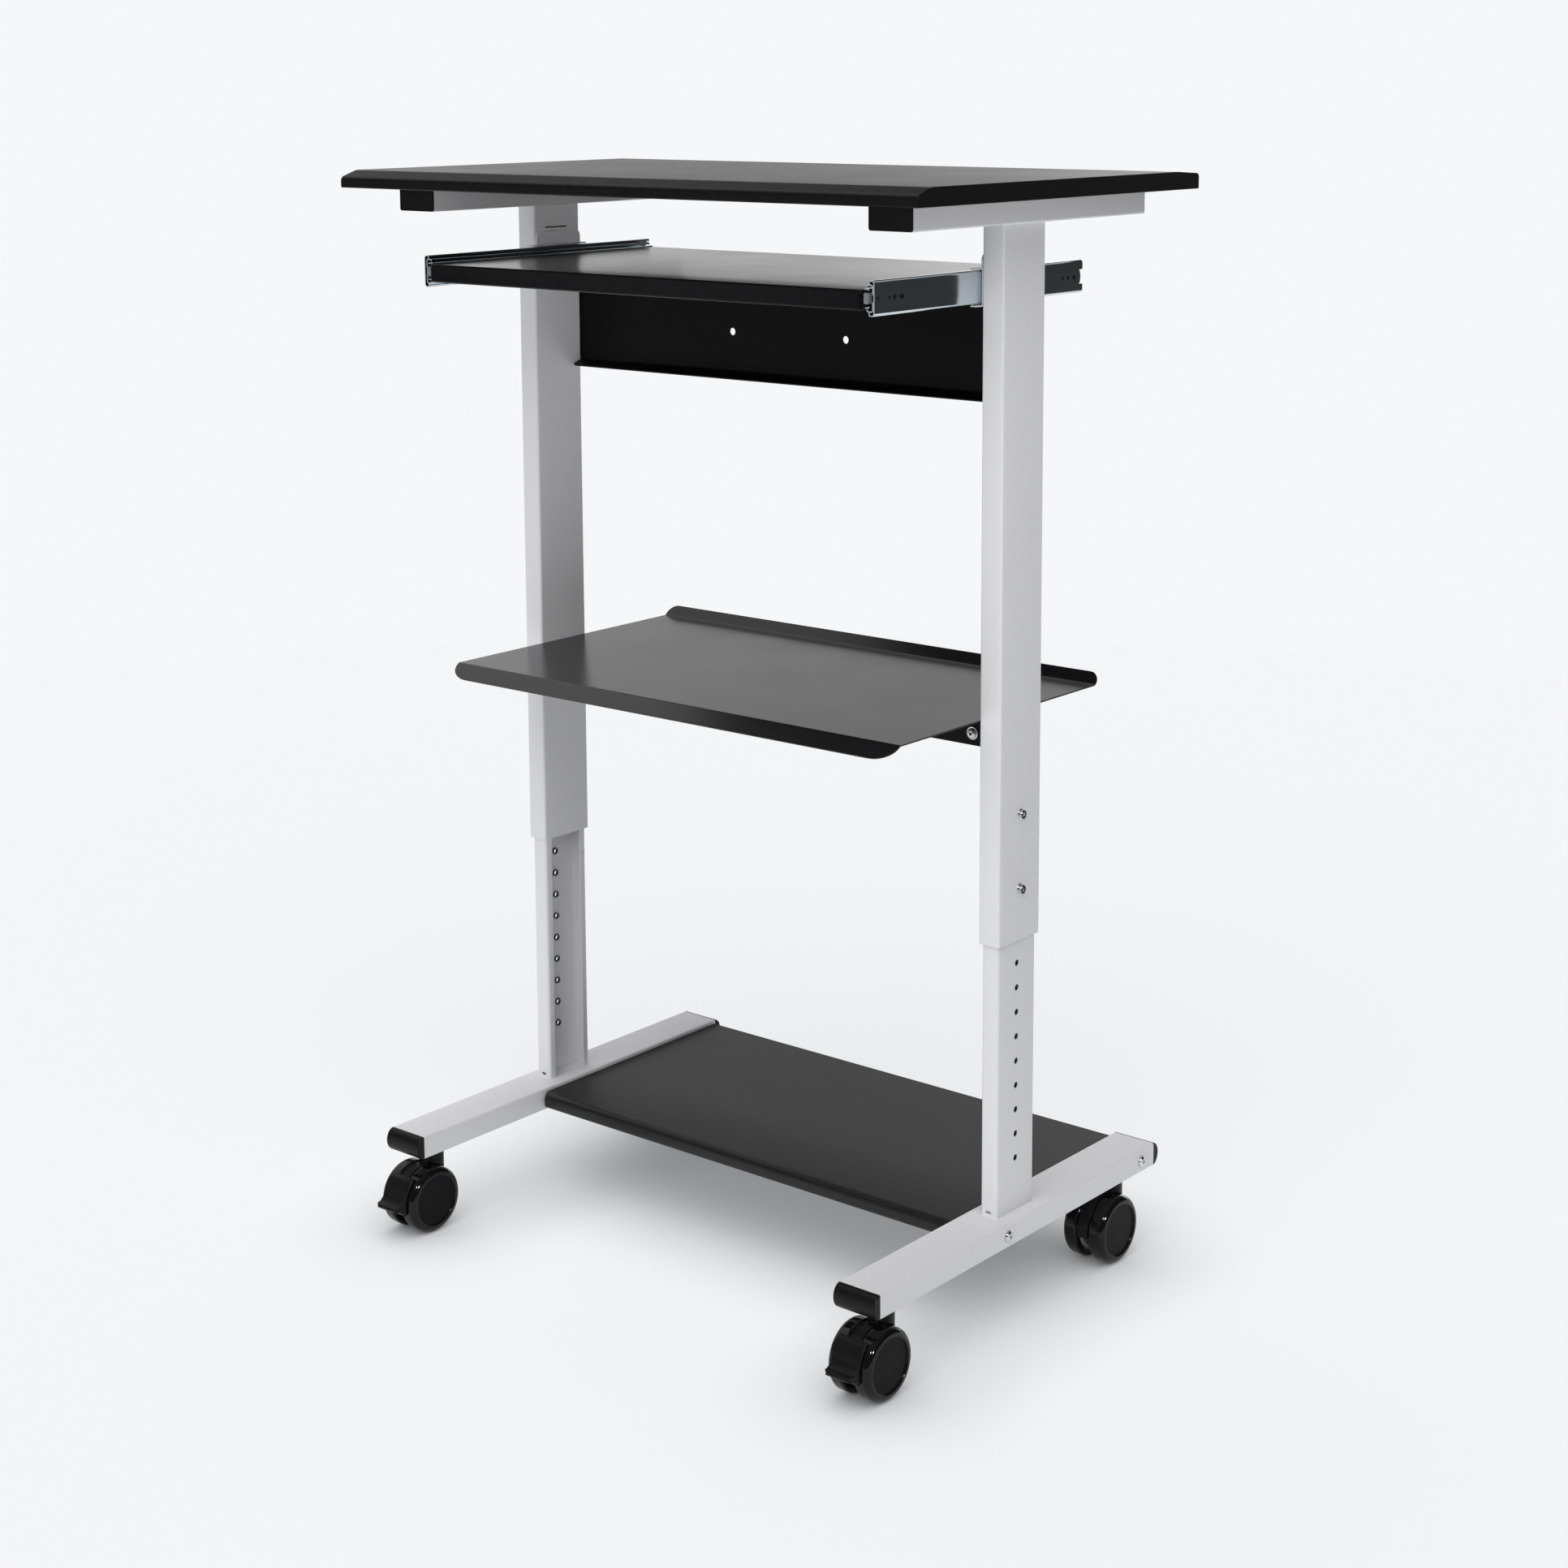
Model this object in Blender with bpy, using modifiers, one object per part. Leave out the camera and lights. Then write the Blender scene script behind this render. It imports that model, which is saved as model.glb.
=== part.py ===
"""A mobile stand-up computer desk whose keyboard tray slides out on ball-bearing slides.

Metres, +Z up. The desk faces -Y, X is its width, and the floor under its middle is the origin.
Places are given in the desk's own depth axis, whose zero is the middle of the base legs; the empty
"desk" moves them all so that the whole outline, brake pedals included, is centred on the origin.
"""

import math

import bmesh
import bpy
from mathutils import Vector

# ---- driving dimensions ----------------------------------------------------------------------
GAP = 0.0003  # between pieces that touch
HOLE_PITCH = 0.0254  # of the height adjustment
SIDE_X = 0.310  # middle plane of each leg, column and rail
OVERALL_HEIGHT = 1.1468

TOP_WIDTH, TOP_DEPTH, TOP_THICK = 0.750, 0.470, 0.018
TOP_FRONT = -0.2395
SLOPE_DEPTH, SLOPE_DROP, NOSE_RADIUS = 0.022, 0.0055, 0.0055
REAR_EASE, REAR_DROP = 0.040, 0.0022  # the top falls a little towards its rear edge

RAIL_WIDTH, RAIL_HEIGHT, RAIL_LENGTH, RAIL_WALL = 0.050, 0.0243, 0.384, 0.002
CAP_THICK, PLUG_LENGTH = 0.0015, 0.014  # of the rails' caps
LEG_WIDTH, LEG_HEIGHT, LEG_LENGTH, LEG_WALL = 0.050, 0.025, 0.478, 0.002
LEG_BOTTOM = 0.0875
CAP_REACH = 0.010  # of the half-round leg caps past the tube

UPRIGHT_WIDTH, UPRIGHT_DEPTH, UPRIGHT_WALL = 0.025, 0.070, 0.002
COLUMN_WIDTH, COLUMN_DEPTH, COLUMN_WALL, COLUMN_LIP = 0.020, 0.064, 0.002, 0.008
COLUMN_Y = 0.002  # middle of the uprights and columns
LOWEST_HOLE = 0.1678
HOLE_COUNT = 18
HOLE_RADIUS = 0.0032
UPRIGHT_BOTTOM = LOWEST_HOLE + 9 * HOLE_PITCH - 0.0015
COLUMN_BOLTS = (LOWEST_HOLE + 11 * HOLE_PITCH, LOWEST_HOLE + 14 * HOLE_PITCH)
BOLT_Y = COLUMN_Y + 0.001
BOLT_HOLE = 0.0034  # radius of a bolt's clearance hole
HEAD_RADIUS, WASHER_RADIUS, SHANK_RADIUS = 0.0052, 0.0061, 0.0030
SLOT_WIDTH, SLOT_HEIGHT, SLOT_ABOVE = 0.0065, 0.0026, 0.0035  # drain slot at a column's foot

BOARD_TOP, BOARD_THICK = 0.1085, 0.0165  # bottom shelf
BOARD_FRONT, BOARD_REAR = -0.0585, 0.2370
BASE_BOLTS = (-0.0314, 0.2143)  # along the legs

SHELF_TOP, SHEET = 0.619, 0.0015  # middle shelf
SHELF_FRONT, SHELF_REAR = -0.160, 0.171  # its two bends
FRONT_LIP, REAR_LIP = (-0.017, -0.0120), (0.011, 0.0111)
FRONT_CORNER, REAR_CORNER = (0.026, 0.016), (0.010, 0.010)  # of the lips, across and along the desk
CROSSBAR_Y, CROSSBAR_HEIGHT, CROSSBAR_DEPTH, CROSSBAR_WALL = -0.020, 0.0257, 0.026, 0.002
CROSSBAR_BOTTOM = 0.5908

PANEL_BOTTOM, PANEL_TOP, PANEL_HOLE_X, PANEL_HOLE_Z = 0.9335, 1.024, 0.0762, 0.9743
PANEL_LIP = (-0.0155, -0.0055)
PANEL_HOLE_RADIUS = 0.004

TRAY_TOP, TRAY_THICK = 1.051, 0.019
TRAY_FRONT, TRAY_REAR = -0.203, 0.137
SLIDE_FRONT, SLIDE_REAR, SLIDE_Z, SLIDE_HEIGHT = -0.198, 0.142, 1.0430, 0.033
BRACKET_THICK, BRACKET_RISE, BRACKET_RADIUS = 0.0012, 0.0152, 0.007
BRACKET_AHEAD, BRACKET_BEHIND = 0.009, 0.003  # its flanges past the upright
OUTER_WEB = SIDE_X - UPRIGHT_WIDTH / 2 - BRACKET_THICK - 3 * GAP  # outer face of a slide
SLIDE_THICK = 0.0122

WHEEL_RADIUS, WHEEL_HALF, WHEEL_X = 0.036, 0.009, 0.0165
RIM_ROUND, DISC_RADIUS = 0.0070, 0.028
TRAIL = 0.0170  # wheel axle forward of the swivel
FRONT_STEM, REAR_STEM = -0.2065, 0.1925
HOOD_THICK, HOOD_RADIUS, NECK_RADIUS = 0.013, 0.035, 0.0135
AXLE_RADIUS, STEM_RADIUS = 0.004, 0.0052
LEVER_WIDTH, TOE_REACH = 0.034, 0.0515
PEDAL_INNER, PEDAL_OUTER, PEDAL_HINGE = 0.0368, 0.0400, 132  # radii and hinge angle on the wheel

REAR_END = LEG_LENGTH / 2 + CAP_REACH
FRONT_END = FRONT_STEM - TRAIL - TOE_REACH
DESK_Y = -(REAR_END + FRONT_END) / 2

# ---- scene and collections -------------------------------------------------------------------
for old in list(bpy.data.objects):
    bpy.data.objects.remove(old)

DESK = bpy.data.collections.new("computer_desk_with_keyboard_tray")
CUTTERS = bpy.data.collections.new("cutters")
for group in (DESK, CUTTERS):
    bpy.context.scene.collection.children.link(group)


def finish(name, colour, roughness, metallic=0.0):
    """A Principled material."""
    material = bpy.data.materials.new(name)
    material.use_nodes = True
    shader = material.node_tree.nodes["Principled BSDF"]
    shader.inputs["Base Color"].default_value = (*colour, 1.0)
    shader.inputs["Roughness"].default_value = roughness
    shader.inputs["Metallic"].default_value = metallic
    material.diffuse_color = (*colour, 1.0)
    return material


LAMINATE = finish("black_laminate", (0.030, 0.029, 0.031), 0.32)
POWDER = finish("light_grey_powder_coat", (0.62, 0.62, 0.64), 0.45)
SHEET_PAINT = finish("black_sheet_paint", (0.035, 0.034, 0.037), 0.38)
PLASTIC = finish("black_plastic", (0.012, 0.012, 0.013), 0.42)
GLOSS = finish("gloss_wheel_black", (0.008, 0.008, 0.009), 0.18)
ZINC = finish("bright_zinc", (0.62, 0.64, 0.66), 0.25, 1.0)


# ---- placing -----------------------------------------------------------------------------------
def world_location(obj):
    """Where an object is; every parent here is unrotated."""
    return obj.location + (world_location(obj.parent) if obj.parent else Vector())


def pivot(name, location, parent=None):
    """An empty on a joint's axis, at a place in the desk's own axes."""
    empty = bpy.data.objects.new(name, None)
    DESK.objects.link(empty)
    empty.location = location
    if parent:
        attach(empty, parent)
    return empty


def attach(obj, parent):
    """Hang obj on parent; its location so far is in the desk's own axes."""
    place = Vector(obj.location)
    obj.parent = parent
    obj.location = place - (world_location(parent) - world_location(desk))


desk = pivot("desk", (0, 0, 0))


def add(name, mesh, material, location, parent, rotation=(0, 0, 0)):
    """A named sub-part made from a mesh whose origin is its own reference point."""
    obj = bpy.data.objects.new(name, mesh)
    DESK.objects.link(obj)
    obj.location = location
    obj.rotation_euler = rotation
    if not mesh.materials:
        mesh.materials.append(material)
    attach(obj, parent)
    return obj


def cutter(name, mesh, location=(0, 0, 0), rotation=(0, 0, 0)):
    """A helper body, left out of the model."""
    obj = bpy.data.objects.new(name, mesh)
    CUTTERS.objects.link(obj)
    obj.location = location
    obj.rotation_euler = rotation
    obj.hide_render = True
    obj.display_type = "WIRE"
    attach(obj, desk)
    return obj


def combine(obj, other, operation):
    """Cut the helper from obj, or join it on."""
    boolean = obj.modifiers.new(operation.lower(), "BOOLEAN")
    boolean.operation = operation
    boolean.solver = "EXACT"
    boolean.object = other


# ---- shapes --------------------------------------------------------------------------------------
ALONG = {"X": (math.pi / 2, 0, math.pi / 2), "Y": (math.pi / 2, 0, 0), "Z": (0, 0, 0)}
LATHE = {"X": (0, math.pi / 2, 0), "Y": (-math.pi / 2, 0, 0), "Z": (0, 0, 0)}
Z_TO_X, Z_TO_Y = (0, math.pi / 2, 0), (math.pi / 2, 0, 0)  # turns of a cutter's local Z


def smooth(mesh):
    """Smooth round faces and keep the sharp edges."""
    mesh.shade_smooth()
    mesh.set_sharp_from_angle(angle=math.radians(35))
    return mesh


def mesh_from(name, bm):
    mesh = bpy.data.meshes.new(name)
    bmesh.ops.recalc_face_normals(bm, faces=bm.faces)
    bm.to_mesh(mesh)
    bm.free()
    return mesh


def box_mesh(name, size):
    bm = bmesh.new()
    bmesh.ops.create_cube(bm, size=1.0)
    bmesh.ops.scale(bm, vec=size, verts=bm.verts)
    return mesh_from(name, bm)


def cylinders_mesh(name, radius, depth, places, sides=12):
    """Cylinders along local Z, centred on each place."""
    bm = bmesh.new()
    for place in places:
        made = bmesh.ops.create_cone(
            bm, cap_ends=True, segments=sides, radius1=radius, radius2=radius, depth=depth
        )
        bmesh.ops.translate(bm, vec=place, verts=made["verts"])
    return mesh_from(name, bm)


def cut_holes(obj, name, radius, depth, places, turn=(0, 0, 0), sides=12):
    """Drill round holes; the places are in the cutter's own axes, before its turn."""
    holes = cylinders_mesh(name, radius, depth, places, sides)
    combine(obj, cutter(name, holes, (0, 0, 0), turn), "DIFFERENCE")


def bevel(obj, width, segments=2, angle=40):
    modifier = obj.modifiers.new("rounded_edges", "BEVEL")
    modifier.width = width
    modifier.segments = segments
    modifier.limit_method = "ANGLE"
    modifier.angle_limit = math.radians(angle)


def arc(centre, radius, start, end, steps):
    """Points on an arc, angles in degrees; radius may be a pair for an ellipse."""
    across, along = radius if isinstance(radius, tuple) else (radius, radius)
    turn = [math.radians(start + (end - start) * i / steps) for i in range(steps + 1)]
    return [(centre[0] + across * math.cos(a), centre[1] + along * math.sin(a)) for a in turn]


def rounded_rectangle(width, height, radius, steps=3, centre=(0, 0)):
    points = []
    for number, (side_x, side_y) in enumerate(((1, 1), (-1, 1), (-1, -1), (1, -1))):
        corner = (
            centre[0] + side_x * (width / 2 - radius),
            centre[1] + side_y * (height / 2 - radius),
        )
        points += arc(corner, radius, 90 * number, 90 * number + 90, steps)
    return points


def extruded(name, outlines, depth):
    """A flat outline, with any further outlines as holes, given thickness along local Z."""
    curve = bpy.data.curves.new(name, "CURVE")
    curve.dimensions = "2D"
    curve.fill_mode = "BOTH"
    curve.extrude = depth / 2
    for points in outlines:
        spline = curve.splines.new("POLY")
        spline.points.add(len(points) - 1)
        for point, (x, y) in zip(spline.points, points):
            point.co = (x, y, 0, 1)
        spline.use_cyclic_u = True
    guide = bpy.data.objects.new(name, curve)
    CUTTERS.objects.link(guide)
    graph = bpy.context.evaluated_depsgraph_get()
    mesh = bpy.data.meshes.new_from_object(guide.evaluated_get(graph))
    bpy.data.objects.remove(guide)
    bm = bmesh.new()
    bm.from_mesh(mesh)
    bmesh.ops.remove_doubles(bm, verts=bm.verts, dist=1e-6)
    bmesh.ops.recalc_face_normals(bm, faces=bm.faces)
    bm.to_mesh(mesh)
    bm.free()
    mesh.materials.clear()
    mesh.name = name
    return mesh


def turned(obj_name, profile, material, location, parent, axis, steps=24, flip=False):
    """A body of revolution; the profile's (radius, height) points run down its outer side."""
    mesh = bpy.data.meshes.new(obj_name)
    closed = profile[0][0] > 1e-6
    count = len(profile)
    edges = [(i, i + 1) for i in range(count - 1)] + ([(count - 1, 0)] if closed else [])
    mesh.from_pydata([(r, 0, z) for r, z in profile], edges, [])
    turn = Vector(LATHE[axis])
    if flip:
        turn += Vector((0, math.pi, 0)) if axis != "Y" else Vector((math.pi, 0, 0))
    obj = add(obj_name, mesh, material, location, parent, turn)
    screw = obj.modifiers.new("turn", "SCREW")
    screw.axis = "Z"
    screw.steps = screw.render_steps = steps
    screw.use_merge_vertices = True
    screw.merge_threshold = 1e-5
    screw.use_smooth_shade = True
    return obj


def folded_sheet(path, thick):
    """Outline of a bent sheet: a path of its one face, offset square to each run by its thickness."""
    points = [Vector(p) for p in path]
    normals = []
    for a, b in zip(points, points[1:]):
        run = (b - a).normalized()
        normals.append(Vector((-run.y, run.x)))
    far = []
    for i, point in enumerate(points):
        before = normals[max(i - 1, 0)]
        after = normals[min(i, len(normals) - 1)]
        middle = (before + after).normalized()
        far.append(point + middle * (thick / middle.dot(after)))
    return [tuple(p) for p in points] + [tuple(p) for p in reversed(far)]


def tube_mesh(name, width, height, wall, radius, length):
    inner = rounded_rectangle(width - 2 * wall, height - 2 * wall, max(radius - wall, 0.0006), 2)
    return extruded(name, [rounded_rectangle(width, height, radius), inner], length)


# ---- base ----------------------------------------------------------------------------------------
def bolt(name, location, side, parent, grip):
    """A button-head bolt on its washer, along X, its head on the outer side."""
    washer = 0.0010
    profile = [(0, 0.0038), (HEAD_RADIUS * 0.5, 0.0036), (HEAD_RADIUS * 0.85, 0.0026)]
    profile += [(HEAD_RADIUS, 0.0014), (HEAD_RADIUS, washer), (WASHER_RADIUS, washer)]
    profile += [(WASHER_RADIUS, 0), (SHANK_RADIUS, 0), (SHANK_RADIUS, -grip), (0, -grip)]
    return turned(name, profile, ZINC, location, parent, "X", 12, flip=side < 0)


def build_leg(side, label):
    x = side * SIDE_X
    middle = LEG_BOTTOM + LEG_HEIGHT / 2
    name = f"{label}_base_leg"
    mesh = smooth(tube_mesh(name, LEG_WIDTH, LEG_HEIGHT, LEG_WALL, 0.003, LEG_LENGTH))
    leg = add(name, mesh, POWDER, (x, 0, middle), desk, ALONG["Y"])
    stems = [(x, y, LEG_BOTTOM) for y in (FRONT_STEM, REAR_STEM)]
    cut_holes(leg, f"{label}_stem_holes", STEM_RADIUS + GAP, 0.012, stems, sides=16)
    spots = [(-middle, y, x) for y in BASE_BOLTS]
    cut_holes(leg, f"{label}_bolt_holes", BOLT_HOLE, LEG_WIDTH + 0.01, spots, Z_TO_X)
    for end, word in ((-1, "front"), (1, "rear")):
        build_leg_cap(f"{label}_{word}_leg_cap", x, end, middle)
    for y, word in zip(BASE_BOLTS, ("front", "rear")):
        outer = x + side * (LEG_WIDTH / 2 + GAP)
        bolt(f"{label}_{word}_shelf_bolt", (outer, y, middle), side, desk, LEG_WIDTH - 0.001)


def build_leg_cap(name, x, end, middle):
    """A half-round plastic cap, with a plug inside the tube."""
    face = LEG_LENGTH / 2 + GAP
    half = LEG_HEIGHT / 2
    plug = half - LEG_WALL - 0.0004
    points = arc((0, 0), (CAP_REACH - GAP, half), -90, 90, 10)
    points += [(0, plug), (-0.014, plug), (-0.014, -plug), (0, -plug)]
    mesh = smooth(extruded(name, [points], LEG_WIDTH - 2 * LEG_WALL - 0.002))
    cap = add(name, mesh, PLASTIC, (x, end * face, middle), desk, ALONG["X"])
    if end < 0:
        cap.rotation_euler = (math.pi / 2, 0, -math.pi / 2)
    cover = arc((0, 0), (CAP_REACH - GAP, half), -90, 90, 10)
    ends = smooth(extruded(name + "_ends", [cover], LEG_WIDTH - 0.0006))
    helper = cutter(name + "_ends", ends, (x, end * face, middle), cap.rotation_euler)
    combine(cap, helper, "UNION")


def build_column(side, label):
    """The lower column: a channel open to the inside, with a row of height holes in its web."""
    x = side * SIDE_X
    width, depth, wall = COLUMN_WIDTH / 2, COLUMN_DEPTH / 2, COLUMN_WALL
    bottom = LEG_BOTTOM + LEG_HEIGHT + GAP
    top = LOWEST_HOLE + (HOLE_COUNT - 1) * HOLE_PITCH + 0.016
    lip = depth - COLUMN_LIP
    outer = [(-width, lip), (-width, depth), (width, depth), (width, -depth), (-width, -depth)]
    outer += [(-width, -lip)]
    inner = [(-width + wall, -lip), (-width + wall, -depth + wall), (width - wall, -depth + wall)]
    inner += [(width - wall, depth - wall), (-width + wall, depth - wall), (-width + wall, lip)]
    mesh = extruded(f"{label}_lower_column", [outer + inner], top - bottom)
    turn = (0, 0, 0) if side > 0 else (0, 0, math.pi)
    column = add(
        f"{label}_lower_column", mesh, POWDER, (x, COLUMN_Y, (top + bottom) / 2), desk, turn
    )
    web = x + side * (width - wall / 2)
    spots = [(-(LOWEST_HOLE + i * HOLE_PITCH), COLUMN_Y, web) for i in range(HOLE_COUNT)]
    cut_holes(column, f"{label}_height_holes", HOLE_RADIUS, 0.006, spots, Z_TO_X, 8)
    slot = box_mesh(f"{label}_foot_slot", (SLOT_WIDTH, 3 * wall, SLOT_HEIGHT))
    place = (x, COLUMN_Y - depth + wall / 2, bottom + SLOT_ABOVE + SLOT_HEIGHT / 2)
    combine(column, cutter(f"{label}_foot_slot", slot, place), "DIFFERENCE")


def build_bottom_shelf():
    """A board between the legs, its front edge rounded over."""
    half = SIDE_X - LEG_WIDTH / 2 - GAP
    bottom, top, nose = BOARD_TOP - BOARD_THICK, BOARD_TOP, 0.0075
    points = [(BOARD_REAR, bottom), (BOARD_REAR, top)]
    points += arc((BOARD_FRONT + nose, top - nose), nose, 90, 180, 5)
    points += arc((BOARD_FRONT + 0.003, bottom + 0.003), 0.003, 180, 270, 2)
    mesh = smooth(extruded("bottom_shelf", [points], 2 * half))
    shelf = add("bottom_shelf", mesh, LAMINATE, (0, 0, 0), desk, ALONG["X"])
    middle = LEG_BOTTOM + LEG_HEIGHT / 2
    spots = [(-middle, y, x) for y in BASE_BOLTS for x in (-half, half)]
    cut_holes(shelf, "shelf_bolt_holes", BOLT_HOLE, 0.020, spots, Z_TO_X)


# ---- casters ---------------------------------------------------------------------------------------
def wheel_profile():
    """From the closed outer face, over the rim and the tread, to the blind axle bore."""
    half, radius = WHEEL_HALF, WHEEL_RADIUS
    points = [(0, half - 0.002), (DISC_RADIUS, half - 0.002), (DISC_RADIUS + 0.0010, half)]
    points += [
        (r, z) for r, z in arc((radius - RIM_ROUND, half - RIM_ROUND), RIM_ROUND, 80, 0, 5)
    ]
    points += arc((radius - 0.003, -half + 0.003), 0.003, 0, -90, 3)
    bore = AXLE_RADIUS + 0.0005
    points += [(bore, -half), (bore, half - 0.006), (0, half - 0.006)]
    return points


def hood_outline():
    """Side view of the hood between the two wheels, about the axle: a fender band and the neck."""
    rear = TRAIL + NECK_RADIUS - 0.002
    neck_top = LEG_BOTTOM - 0.0012 - WHEEL_RADIUS
    points = arc((0, 0), HOOD_RADIUS, 187, 84, 12)
    points += [(TRAIL - NECK_RADIUS + 0.002, neck_top), (rear, neck_top), (rear, 0.020)]
    points += [(0.016, -0.002)]
    points += arc((0, 0), 0.0105, -20, -180, 8)
    points += arc((0, 0), 0.0275, 150, 187, 4)
    return points


def build_caster(side, label, stem_y, braked):
    x = side * SIDE_X
    swivel = pivot(f"{label}_swivel", (x, stem_y, 0), desk)
    axle_y = stem_y - TRAIL
    turn = ALONG["X"]
    mesh = smooth(extruded(f"{label}_caster_hood", [hood_outline()], HOOD_THICK))
    hood = add(f"{label}_caster_hood", mesh, PLASTIC, (x, axle_y, WHEEL_RADIUS), swivel, turn)
    neck_top, neck_bottom = LEG_BOTTOM - 0.0010, 2 * WHEEL_RADIUS + 0.0016
    neck_height = neck_top - neck_bottom
    neck = smooth(cylinders_mesh(f"{label}_neck", NECK_RADIUS, neck_height, [(0, 0, 0)], 28))
    middle = (neck_top + neck_bottom) / 2
    combine(hood, cutter(f"{label}_neck", neck, (x, stem_y, middle)), "UNION")
    socket = cylinders_mesh(f"{label}_socket", STEM_RADIUS + 0.0006, 0.030, [(0, 0, 0)], 16)
    combine(hood, cutter(f"{label}_socket", socket, (x, stem_y, neck_top - 0.005)), "DIFFERENCE")
    bore = cylinders_mesh(f"{label}_axle_bore", AXLE_RADIUS + GAP, 0.030, [(0, 0, 0)], 16)
    helper = cutter(f"{label}_axle_bore", bore, (x, axle_y, WHEEL_RADIUS), Z_TO_X)
    combine(hood, helper, "DIFFERENCE")

    stem_bottom, stem_top = neck_top - 0.019, LEG_BOTTOM + 0.019
    chamfer = 0.001
    stem_profile = [(0, stem_top), (STEM_RADIUS - chamfer, stem_top)]
    stem_profile += [(STEM_RADIUS, stem_top - chamfer), (STEM_RADIUS, stem_bottom), (0, stem_bottom)]
    turned(f"{label}_caster_stem", stem_profile, ZINC, (x, stem_y, 0), desk, "Z", 16)

    reach = WHEEL_X + WHEEL_HALF - 0.0065
    axle_profile = [(0, reach), (AXLE_RADIUS, reach), (AXLE_RADIUS, -reach), (0, -reach)]
    turned(f"{label}_caster_axle", axle_profile, ZINC, (x, axle_y, WHEEL_RADIUS), swivel, "X", 16)
    for way, word in ((-1, "left"), (1, "right")):
        place = (x + way * WHEEL_X, axle_y, WHEEL_RADIUS)
        name = f"{label}_caster_{word}_wheel"
        turned(name, wheel_profile(), GLOSS, place, swivel, "X", 22, flip=way < 0)
    if braked:
        build_brake_pedal(f"{label}_brake_pedal", x, axle_y, swivel)


def build_brake_pedal(name, x, axle_y, swivel):
    """A curved pedal over the wheels' front, hinged at its upper end, with a flared toe."""
    hinge_radius = (PEDAL_INNER + PEDAL_OUTER) / 2
    hinge = arc((0, 0), hinge_radius, PEDAL_HINGE, PEDAL_HINGE, 1)[0]
    points = arc((0, 0), PEDAL_OUTER, PEDAL_HINGE - 3, 162, 5)
    points += [(-0.0425, 0.0075), (-0.0465, 0.0040)]
    points += arc((-TOE_REACH + 0.0022, 0.0020), 0.0022, 80, 270, 4)
    points += [(-0.0440, -0.0040), (-0.0400, -0.0085)]
    points += arc((0, 0), PEDAL_INNER, 193, PEDAL_HINGE - 3, 9)
    shifted = [(y - hinge[0], z - hinge[1]) for y, z in points]
    mesh = smooth(extruded(name, [shifted], LEVER_WIDTH))
    place = (x, axle_y + hinge[0], WHEEL_RADIUS + hinge[1])
    axis = pivot(name + "_hinge", place, swivel)
    add(name, mesh, PLASTIC, place, axis, ALONG["X"])


# ---- upper frame -----------------------------------------------------------------------------------
TOP_BOTTOM = OVERALL_HEIGHT - TOP_THICK
RAIL_BOTTOM = TOP_BOTTOM - GAP - RAIL_HEIGHT
upper = pivot("upper_frame", (0, COLUMN_Y, 0), desk)


def build_rail(side, label):
    x = side * SIDE_X
    middle = RAIL_BOTTOM + RAIL_HEIGHT / 2
    name = f"{label}_top_rail"
    mesh = smooth(tube_mesh(name, RAIL_WIDTH, RAIL_HEIGHT, RAIL_WALL, 0.0025, RAIL_LENGTH))
    add(name, mesh, POWDER, (x, 0, middle), upper, ALONG["Y"])
    for end, word in ((-1, "front"), (1, "rear")):
        build_rail_cap(f"{label}_{word}_rail_cap", x, end, middle)


def build_rail_cap(name, x, end, middle):
    """A flat cap with a plug inside the tube: black plastic in front, painted steel behind."""
    material = PLASTIC if end < 0 else POWDER
    face = end * (RAIL_LENGTH / 2 + GAP + CAP_THICK / 2)
    cover = rounded_rectangle(RAIL_WIDTH - 0.0004, RAIL_HEIGHT - 0.0004, 0.0022, 2)
    mesh = extruded(name, [cover], CAP_THICK)
    cap = add(name, mesh, material, (x, face, middle), upper, ALONG["Y"])
    inset = 2 * RAIL_WALL + 0.0012
    plug = box_mesh(name + "_plug", (RAIL_WIDTH - inset, PLUG_LENGTH, RAIL_HEIGHT - inset))
    helper = cutter(name + "_plug", plug, (x, face - end * (PLUG_LENGTH - CAP_THICK / 2) / 2, middle))
    combine(cap, helper, "UNION")


def build_upright(side, label):
    """The outer tube, with an ear for the crossbar on its inner side."""
    x = side * SIDE_X
    top = RAIL_BOTTOM - GAP
    middle, length = (top + UPRIGHT_BOTTOM) / 2, top - UPRIGHT_BOTTOM
    name = f"{label}_upright_tube"
    mesh = smooth(tube_mesh(name, UPRIGHT_WIDTH, UPRIGHT_DEPTH, UPRIGHT_WALL, 0.003, length))
    tube = add(name, mesh, POWDER, (x, COLUMN_Y, middle), upper)
    ear = box_mesh(name + "_ear", (0.0255, 0.0025, CROSSBAR_HEIGHT - 0.003))
    ear_x = x - side * (UPRIGHT_WIDTH / 2 + 0.0115)
    ear_y = CROSSBAR_Y + CROSSBAR_WALL + GAP + 0.00125
    ear_z = CROSSBAR_BOTTOM + CROSSBAR_HEIGHT / 2 - 0.001
    combine(tube, cutter(name + "_ear", ear, (ear_x, ear_y, ear_z)), "UNION")
    outer = x + side * (UPRIGHT_WIDTH / 2)
    spots = [(-z, BOLT_Y, outer) for z in COLUMN_BOLTS]
    cut_holes(tube, name + "_holes", BOLT_HOLE, 0.008, spots, Z_TO_X)
    for z, word in zip(COLUMN_BOLTS, ("lower", "upper")):
        grip = UPRIGHT_WALL - GAP
        bolt(f"{label}_{word}_height_bolt", (outer + side * GAP, BOLT_Y, z), side, upper, grip)


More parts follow.
